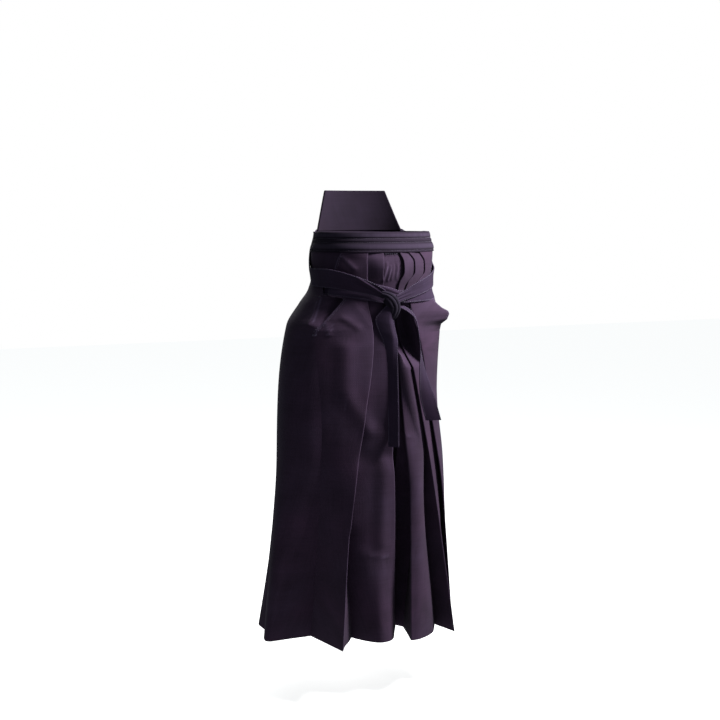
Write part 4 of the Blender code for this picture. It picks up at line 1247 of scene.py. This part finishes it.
def board_rows():
    """Rows of stitches inside the board's two sides and its top."""
    grid = board_grid()
    lift = 0.5 * BOARD + BOARD_THREAD_LIFT
    sides = [row_on(grid, lift, (BOARD_SIDE_RUN, column)) for column in BOARD_SIDE_COLUMNS]
    return sides + [row_on(grid, lift, (BOARD_TOP_ROW, BOARD_TOP_RUN))]


def gusset_grid():
    """A shallow arch over the tops of the two gores, from the front seam to the back seam.

    It rises by rise * (1 - side^2) across its width.
    """
    level = CROTCH - GUSSET_DROP
    front = np.array([station(FRONT_CENTRE_X, level), station(FRONT_CENTRE_Y, level) + GUSSET_SHORT])
    back = np.array([station(BACK_CENTRE_X, level), station(BACK_CENTRE_Y, level) - GUSSET_SHORT])
    share = np.linspace(0.0, 1.0, GUSSET_ROWS)[:, None]
    side = np.linspace(-1.0, 1.0, GUSSET_COLUMNS)[None, :]
    x = front[0] + (back[0] - front[0]) * share + GUSSET_HALF * side
    y = front[1] + (back[1] - front[1]) * share + 0.0 * side
    z = level + 0.5 * CLOTH + SEAM_GAP + GUSSET_RISE * (1.0 - side ** 2) + 0.0 * share
    return np.stack((x, y, z), axis=-1)


def roll_section():
    """Heights and insides of the front band's closed section.

    A roll stands out of its grooves by rise * (1 - |2 part - 1|^3), part running down it.
    """
    pairs = list(FRONT_INNER_FACE)
    for top, foot, rise in zip(ROLL_EDGES, ROLL_EDGES[1:], ROLL_RISE):
        part = np.linspace(0.0, 1.0, ROLL_POINTS + 1)[:-1] + ROLL_SHIFT
        pairs.extend(zip(top + (foot - top) * part,
                         ROLL_GROOVE - rise * (1.0 - np.abs(2.0 * part - 1.0) ** 3.0)))
    return pairs + list(FRONT_FOOT)


def waistband_piece(name, section, middle, half, head_half, material):
    """A closed section carried round the waist, its ends closed; above 0 it stands only at the board.

    The outer face ripples by height * sin(a * angle) * sin(b * angle).
    """
    heights, insides = np.array(section, float).T
    angles = np.linspace(middle - half, middle + half, BAND_POINTS)[:, None]
    beside = np.clip((np.abs(angles - middle) - head_half) / HEAD_FALL, 0.0, 1.0)
    tall = heights - np.maximum(heights - BACK_TOP, 0.0) * beside * (heights > 0.0)
    rise, wave, slow_wave = BAND_RIPPLE
    ripple = rise * np.sin(angles * wave) * np.sin(angles * slow_wave) * (insides < 0.0)
    plan = around(angles, insides + ripple, tall)
    grid = np.concatenate((plan, tall[..., None]), axis=-1)
    rows, columns = grid.shape[:2]
    faces = grid_quads(rows, columns, closed=True)
    faces += [tuple(range(columns)), tuple(range(rows * columns - 1, (rows - 1) * columns - 1, -1))]
    flat = flat_pattern(grid)[..., ::-1]
    wear_and_highlight = np.broadcast_to(band_highlight(heights, insides), (rows, columns))
    return new_piece(name, grid, faces, material, flat, wear_and_highlight, closed=True)


def band_highlight(heights, insides):
    """A band is painted palest on its crowns and its top edge: painted highlight."""
    start, reach, crown_pale = CROWN_HIGHLIGHT
    foot, top, top_pale = TOP_HIGHLIGHT
    crowns = np.clip((-insides - start) / reach, 0.0, 1.0) * crown_pale
    return crowns + top_pale * (heights > foot) * (heights < top)


def board_grid():
    """The board: it narrows upwards and leans with the outline of the small of the back."""
    rise = np.linspace(0.0, 1.0, BOARD_ROWS)
    heights = BOARD_HEIGHT * rise
    half = BOARD_FOOT_HALF + (BOARD_TOP_HALF - BOARD_FOOT_HALF) * rise
    angles = 180.0 + half[:, None] * np.linspace(-1.0, 1.0, BOARD_COLUMNS)[None, :]
    return panel_grid(around(angles, 0.0, heights[:, None]), heights)


def tie_grid(table, furrow, along, across, tilt=0.0):
    """Points of a tie that lies round the outline, its long edges curled in by curl * side^4.

    furrow(angle, side) is how far the tie's surface is pressed in at each place, and tilt how far the
    upper edge stands off beyond the lower one, for each half width.
    """
    angles, *columns = np.array(table, float).T
    share = np.linspace(0.0, 1.0, along)
    angle = angles[0] + (angles[-1] - angles[0]) * share
    height, half, inside = (through(angles, column, angle) for column in columns)
    side = np.linspace(-1.0, 1.0, across)[:, None]
    heights = height[None, :] + half[None, :] * side
    inner = inside[None, :] + TIE_CURL * side ** 4 + furrow(angle[None, :], side)
    started = np.clip((angle[None, :] - TILT_START) / TILT_REACH, 0.0, 1.0)
    inner = inner - tilt * (1.0 + side) * started
    plan = around(angle[None, :], inner, heights)
    return np.concatenate((plan, heights[..., None]), axis=-1)


def tail_grid(table, along, across):
    """Points of a hanging tie end: a ribbon along its middle line, turned and lightly folded.

    It stands out by fold * (1 - |off|^power), off being the way from the fold's peak to either edge.
    """
    rows = np.arange(len(table), dtype=float)
    share = np.linspace(0.0, len(table) - 1.0, along)
    columns = np.array(table, float).T
    x, y, height, half, turn, fold, peak = (through(rows, column, share) for column in columns)
    side = np.linspace(-1.0, 1.0, across)[:, None]
    cosine = np.cos(np.radians(turn))
    sine = np.sin(np.radians(turn))
    off = (side - peak) / np.where(side < peak, 1.0 + peak, 1.0 - peak)
    out = fold * (1.0 - np.abs(off) ** TAIL_FOLD_POWER)
    points_x = x + half * side * cosine + out * sine
    points_y = y + half * side * sine - out * cosine
    return np.stack((points_x, points_y, np.broadcast_to(height, points_x.shape)), axis=-1)


def smooth_furrow(angle, side):
    """A flat tie with two faint lengthwise fold lines, each depth * exp(-(d / half width)^2)."""
    total = 0.0 * angle
    for place, depth in FOLD_LINES:
        total = total + depth * np.exp(-((side - place) / FOLD_LINE_HALF) ** 2)
    return total


def gathered_furrow(angle, side):
    """Cosine furrows that run into the knot and deepen towards it."""
    near = np.exp(-((angle - GATHER_AT) / GATHER_REACH) ** 2)
    wave = np.cos(2.0 * math.pi * (GATHER_COUNT * side + GATHER_SLANT * angle))
    return near * GATHER_DEPTH * (0.5 - 0.5 * wave) + (1.0 - near) * smooth_furrow(angle, side)


def turned_furrow(angle, side):
    """The gathered tie with its upper part turned over in one slanting ridge that runs to the knot."""
    start, end, top, low = TURNED_EDGE
    share, shift = TURNED_FURROW
    along = np.clip((angle - start) / (end - start), -TURNED_OVERRUN, 1.0 + TURNED_OVERRUN)
    off = (side - top - (low - top) * along) / TURNED_HALF
    ridge = np.exp(-off ** 2) - share * np.exp(-(off + shift) ** 2)
    window = np.clip((angle - start + TURNED_START) / TURNED_START, 0.0, 1.0)
    return gathered_furrow(angle, side) - TURNED_RISE * ridge * window


def tie_grids():
    """The points of each tie, by its node's name."""
    return {
        "front_tie_upper": tie_grid(FRONT_TIE_UPPER, smooth_furrow, along=160, across=11),
        "front_tie_low": tie_grid(FRONT_TIE_LOW, gathered_furrow, along=200, across=19),
        "back_tie_right": tie_grid(BACK_TIE_RIGHT, turned_furrow, along=150, across=31, tilt=TIE_TILT),
        "back_tie_left": tie_grid(BACK_TIE_LEFT, gathered_furrow, along=130, across=25),
        "tail_long": tail_grid(TAIL_LONG, along=120, across=17),
        "tail_short": tail_grid(TAIL_SHORT, along=140, across=17),
    }


def tie_edge_paleness(grid):
    """A tie is paler along its two long edges, more so towards its last end."""
    wear_and_highlight = np.zeros(grid.shape[:2])
    wear_and_highlight[0] = wear_and_highlight[-1] = np.linspace(*TIE_EDGE_PALENESS, grid.shape[1])
    return wear_and_highlight


def squared(wave):
    """A wave pushed outwards, |wave|^power with its sign, so that a circle becomes a rounded square."""
    return np.sign(wave) * np.abs(wave) ** KNOT_POWER


def knot_point(width, out, along):
    """A point in the knot's leaning frame."""
    turn = math.radians(KNOT_LEAN)
    x = KNOT_CENTRE[0] + width * math.cos(turn) - along * math.sin(turn)
    z = KNOT_CENTRE[2] + width * math.sin(turn) + along * math.cos(turn)
    return np.stack((x, KNOT_CENTRE[1] - out + 0.0 * x, z), axis=-1)


def knot_core(material):
    """The knot's core: a squared ball, closed at both poles."""
    longitude = np.linspace(0.0, 2.0 * math.pi, KNOT_TURNS, endpoint=False)[None, :]
    latitude = np.linspace(-math.pi / 2.0, math.pi / 2.0, KNOT_RINGS)[1:-1, None]
    width = KNOT_HALF[0] * squared(np.sin(latitude)) + 0.0 * longitude
    out = KNOT_HALF[1] * squared(np.cos(latitude)) * squared(np.cos(longitude))
    along = KNOT_HALF[2] * squared(np.cos(latitude)) * squared(np.sin(longitude))
    grid = knot_point(width, out, along)
    poles = knot_point(np.array([-KNOT_HALF[0], KNOT_HALF[0]]), np.zeros(2), np.zeros(2))
    return closed_ball("knot_heart", grid, poles, material)


def closed_ball(name, grid, poles, material):
    """Rings of points closed by a fan of triangles at each pole."""
    rings, turns = grid.shape[:2]
    first, top = rings * turns, (rings - 1) * turns
    faces = grid_quads(rings, turns, closed=True)
    faces += [(turn, (turn + 1) % turns, first) for turn in range(turns)]
    faces += [(top + (turn + 1) % turns, top + turn, first + 1) for turn in range(turns)]
    flat = np.concatenate((flat_pattern(grid).reshape(-1, 2), np.zeros((2, 2))))
    return new_piece(name, np.concatenate((grid.reshape(-1, 3), poles)), faces, material, flat, closed=True)


def strand_grids():
    """The wrap's three strands: crowned ribbons side by side along one curved line.

    Each point is the line's own point + across * (the line's left-hand direction in x and height), and
    stands out by the line's out - sunk + crown * (1 - side^2).
    """
    rows = np.arange(len(WRAP), dtype=float)
    share = np.linspace(0.0, len(WRAP) - 1.0, STRAND_ROWS)
    x, height, out, spread = (through(rows, column, share) for column in np.array(WRAP, float).T)
    run = unit(np.stack((np.gradient(x), np.gradient(height)), axis=-1))
    side = np.linspace(-1.0, 1.0, STRAND_COLUMNS)[:, None]
    grids = []
    for middle, width, sunk in STRANDS:
        across = (middle + 0.5 * width * side) * spread
        stand = out - sunk + STRAND_CROWN * (1.0 - side ** 2)
        grids.append(np.stack((x - across * run[:, 1], KNOT_CENTRE[1] - stand, height + across * run[:, 0]),
                              axis=-1))
    return grids


def build_floor():
    """A pale glowing floor under the hems, which throws no light of its own on the cloth."""
    floor, _, shader = start_finish("white_acrylic_light_floor", FLOOR_ROUGHNESS)
    shader.inputs["Base Color"].default_value = FLOOR_COLOUR
    shader.inputs["Emission Color"].default_value = WHITE
    shader.inputs["Emission Strength"].default_value = FLOOR_GLOW
    mesh = bpy.data.meshes.new("studio_floor")
    corners = ((-1, -1), (1, -1), (1, 1), (-1, 1))
    mesh.from_pydata([(x * FLOOR_HALF, y * FLOOR_HALF, FLOOR) for x, y in corners], [], [(0, 1, 2, 3)])
    mesh.materials.append(floor)
    ground = bpy.data.objects.new("studio_floor", mesh)
    ground.visible_diffuse = False
    ground.visible_glossy = False
    bpy.context.scene.collection.objects.link(ground)


def build_room():
    """A room that is white to look at and gives a dimmer, cooler light."""
    world = bpy.data.worlds.new("white_room")
    world.use_nodes = True
    tree = world.node_tree
    seen = add_node(tree, "ShaderNodeLightPath").outputs["Is Camera Ray"]
    room = add_node(tree, "ShaderNodeMix", {"Factor": seen, "A": ROOM_LIGHT, "B": WHITE}, data_type="RGBA")
    tree.links.new(room.outputs["Result"], tree.nodes["Background"].inputs["Color"])
    bpy.context.scene.world = world
    bpy.context.scene.view_settings.view_transform = "Standard"


def build_lights():
    """One near soft light, a bounce from the floor and a weak light behind."""
    for name, (azimuth, out, height, aim_height, size, power) in LIGHTS.items():
        lamp = bpy.data.lights.new(name, "AREA")
        lamp.shape = "SQUARE"
        lamp.size = size
        lamp.energy = power
        turn = math.radians(azimuth)
        obj = bpy.data.objects.new(name, lamp)
        obj.location = (out * math.sin(turn), -out * math.cos(turn), height)
        obj.rotation_euler = (math.pi / 2.0 - math.atan2(height - aim_height, out), 0.0, turn)
        obj.visible_camera = False
        bpy.context.scene.collection.objects.link(obj)


def build_camera():
    """The camera, a little to the side of the line to the waist's axis and tilted down."""
    turn, tilt = math.radians(CAMERA_AZIMUTH), math.radians(CAMERA_TILT)
    lens = bpy.data.cameras.new("studio_camera")
    lens.lens = CAMERA_LENS
    lens.sensor_width = CAMERA_SENSOR
    eye = bpy.data.objects.new("studio_camera", lens)
    eye.location = (CAMERA_DISTANCE * math.sin(turn) - CAMERA_SIDE * math.cos(turn),
                    -CAMERA_DISTANCE * math.cos(turn) - CAMERA_SIDE * math.sin(turn), CAMERA_HEIGHT)
    eye.rotation_euler = (math.pi / 2.0 - tilt, 0.0, turn)
    bpy.context.scene.collection.objects.link(eye)
    bpy.context.scene.camera = eye


def size_property(name, description, size, largest):
    """A length that a user may change, from a size in millimetres."""
    return bpy.props.FloatProperty(name=name, description=description, default=size * MM, min=0.1 * MM,
                                   max=largest * MM, precision=4, subtype="DISTANCE", unit="LENGTH")


def colour_property(name, description, colour):
    """A colour that a user may change, from its sRGB hex."""
    return bpy.props.FloatVectorProperty(name=name, description=description, default=linear(colour), size=3,
                                         min=0.0, max=1.0, subtype="COLOR")


class HakamaLook(bpy.types.PropertyGroup):
    """Sizes and colours that a user may change."""
    cloth: size_property("Cloth", "Wall of a single cloth", CLOTH, largest=3.0)
    tie: size_property("Tie", "Thickness of a folded tie", TIE_CLOTH, largest=3.0)
    board: size_property("Board", "Thickness of the covered back board", BOARD, largest=8.0)
    stitch: size_property("Stitch", "Length of one stitch", THREAD, largest=5.0)
    stitch_width: size_property("Stitch width", "Width of the sewing thread", THREAD_WIDTH, largest=1.5)
    # The bands' and board's colour is darkened as painted shade.
    cloth_colour: colour_property("Cloth colour", "The panels' dye", CLOTH_COLOUR)
    band_shaded_colour: colour_property("Band colour", "The waistbands' and board's dye", BAND_SHADED_COLOUR)
    tie_colour: colour_property("Tie colour", "The ties' dye", TIE_COLOUR)
    # The knot's colour is darkened as painted shade.
    knot_shaded_colour: colour_property("Knot colour", "The tie's dye where it is crushed in the knot", KNOT_SHADED_COLOUR)
    # The pale colour of rubbed edges, also used for painted highlights on lit edges and ridges.
    worn_and_lit_colour: colour_property("Worn colour", "The cloth where its edges are rubbed", WORN_AND_LIT_COLOUR)
    thread_colour: colour_property("Thread colour", "The sewing thread", THREAD_COLOUR)


class PleatedPanels(bpy.types.Operator):
    """The front and back panels with their knife pleats, one sheet each from waistband to hem."""
    bl_idname = "hakama.panels"
    bl_label = "Pleated panels"

    def execute(self, context):
        look = context.scene.hakama_look
        lines, wear_and_highlight = cloth_lines(LEVELS)
        for name, cut in PANEL_CUTS.items():
            grid = panel_grid(lines[name], LEVELS)
            worn_and_lit = worn_and_lit_places(name, lines[name], wear_and_highlight[name], LEVELS)
            piece = cloth_wall(name + "_panel", grid, look.cloth, hakama_cloth(look), worn_and_lit)
            ride_root(piece, "cloth", name + "_hip", name + "_leg")
            rows = slit_rows(lines[name], LEVELS) + ([tack_row()] if name == "front_right" else [])
            sewing = sew(name, rows, look, "cloth")
        return {"FINISHED"}


class InnerLegs(bpy.types.Operator):
    """The two gores between the legs and the narrow gusset over their tops."""
    bl_idname = "hakama.inner_legs"
    bl_label = "Inner legs"

    def execute(self, context):
        look = context.scene.hakama_look
        height = LEVELS[LEVELS < CROTCH - GORE_ROOM]
        lines, _ = cloth_lines(height)
        for name in ("gore_right", "gore_left"):
            grid = panel_grid(lines[name], height)
            piece = cloth_wall(name + "_cloth", grid, look.cloth, hakama_cloth(look))
            ride_root(piece, "cloth", name)
        piece = cloth_wall("gusset_cloth", gusset_grid(), look.cloth, hakama_cloth(look))
        ride_root(piece, "cloth", "gusset")
        return {"FINISHED"}


class Waistbands(bpy.types.Operator):
    """The front waistband's three stitched rolls and the plain back band."""
    bl_idname = "hakama.waistbands"
    bl_label = "Waistbands"

    def execute(self, context):
        look = context.scene.hakama_look
        # Name, node, section, middle and half angle, half angle of the head above 0, and the rows of
        # stitches' heights and inside, then the flat cut.
        bands = (("front_waistband", "waistband", roll_section(), 0.0, FRONT_BAND_HALF, 180.0, ROLL_EDGES[1:],
                  FRONT_BAND_FACE, FRONT_BAND_CUT),
                 ("rear_waistband", "back_band", BACK_SECTION, 180.0, BACK_BAND_HALF, BOARD_FOOT_HALF,
                  BACK_BAND_ROWS, BACK_BAND_FACE, BACK_BAND_CUT))
        for name, node, section, middle, half, head_half, levels, face, cut in bands:
            piece = waistband_piece(name, section, middle, half, head_half, shaded_band_cloth(look))
            ride_root(piece, "cloth", node)
            sewing = sew(name, band_rows(middle, half, levels, face), look, "cloth")
        return {"FINISHED"}


class BackBoard(bpy.types.Operator):
    """The stiff cloth-covered board that stands on the back band."""
    bl_idname = "hakama.board"
    bl_label = "Back board"

    def execute(self, context):
        look = context.scene.hakama_look
        piece = cloth_wall("stiff_back_board", board_grid(), look.board, shaded_band_cloth(look))
        bevel = piece.modifiers.new("edge", "BEVEL")
        bevel.width = BOARD_BEVEL * MM
        bevel.segments = BOARD_BEVEL_STEPS
        bevel.angle_limit = math.radians(BOARD_BEVEL_ANGLE)
        ride_root(piece, "cloth", "back_board")
        sew("back_board", board_rows(), look, "cloth")
        return {"FINISHED"}


class Ties(bpy.types.Operator):
    """The ties round the body and the two hanging ends."""
    bl_idname = "hakama.ties"
    bl_label = "Ties"

    def execute(self, context):
        look = context.scene.hakama_look
        for node, grid in tie_grids().items():
            piece = cloth_wall(node + "_strip", grid, look.tie, tie_cloth(look), tie_edge_paleness(grid))
            ride_root(piece, "ties", node)
            lift = 0.5 * look.tie / MM + THREAD_LIFT
            rows = [row_on(grid, lift, (row, TIE_RUN)) for row in TIE_ROWS]
            sewing = sew(node, rows, look, "ties")
        return {"FINISHED"}


class Knot(bpy.types.Operator):
    """The knot: a core and the strands that cross its front."""
    bl_idname = "hakama.knot"
    bl_label = "Knot"

    def execute(self, context):
        look = context.scene.hakama_look
        core = knot_core(shaded_knot_cloth(look))
        ride_root(core, "ties", "knot_core")
        for place, grid in enumerate(strand_grids()):
            piece = cloth_wall(f"knot_strand_{place + 1}", grid, look.tie, shaded_knot_cloth(look), tie_edge_paleness(grid))
            ride_root(piece, "ties", "knot_wrap")
        return {"FINISHED"}


class Stage(bpy.types.Operator):
    """Pale floor, soft studio light and the camera."""
    bl_idname = "hakama.stage"
    bl_label = "Studio stage"

    def execute(self, context):
        build_floor()
        build_room()
        build_lights()
        build_camera()
        return {"FINISHED"}


class HakamaPanel(bpy.types.Panel):
    """The hakama's pieces in the sidebar."""
    bl_idname = "VIEW3D_PT_hakama"
    bl_label = "Hakama trousers"
    bl_space_type = "VIEW_3D"
    bl_region_type = "UI"
    bl_category = "Hakama"

    def draw(self, context):
        for name in HakamaLook.__annotations__:
            self.layout.prop(context.scene.hakama_look, name)
        for operator in OPERATORS:
            self.layout.operator(operator.bl_idname)


OPERATORS = (PleatedPanels, InnerLegs, Waistbands, BackBoard, Ties, Knot, Stage)


def register():
    """Adds the classes and the look's place on the scene."""
    for item in (HakamaLook,) + OPERATORS + (HakamaPanel,):
        bpy.utils.register_class(item)
    bpy.types.Scene.hakama_look = bpy.props.PointerProperty(type=HakamaLook)


def unregister():
    """Takes them away again, in the opposite order."""
    del bpy.types.Scene.hakama_look
    for item in reversed((HakamaLook,) + OPERATORS + (HakamaPanel,)):
        bpy.utils.unregister_class(item)


def main():
    """Builds every piece in order."""
    register()
    for operator in OPERATORS:
        group, name = operator.bl_idname.split(".")
        getattr(getattr(bpy.ops, group), name)()


if __name__ == "__main__":
    main()
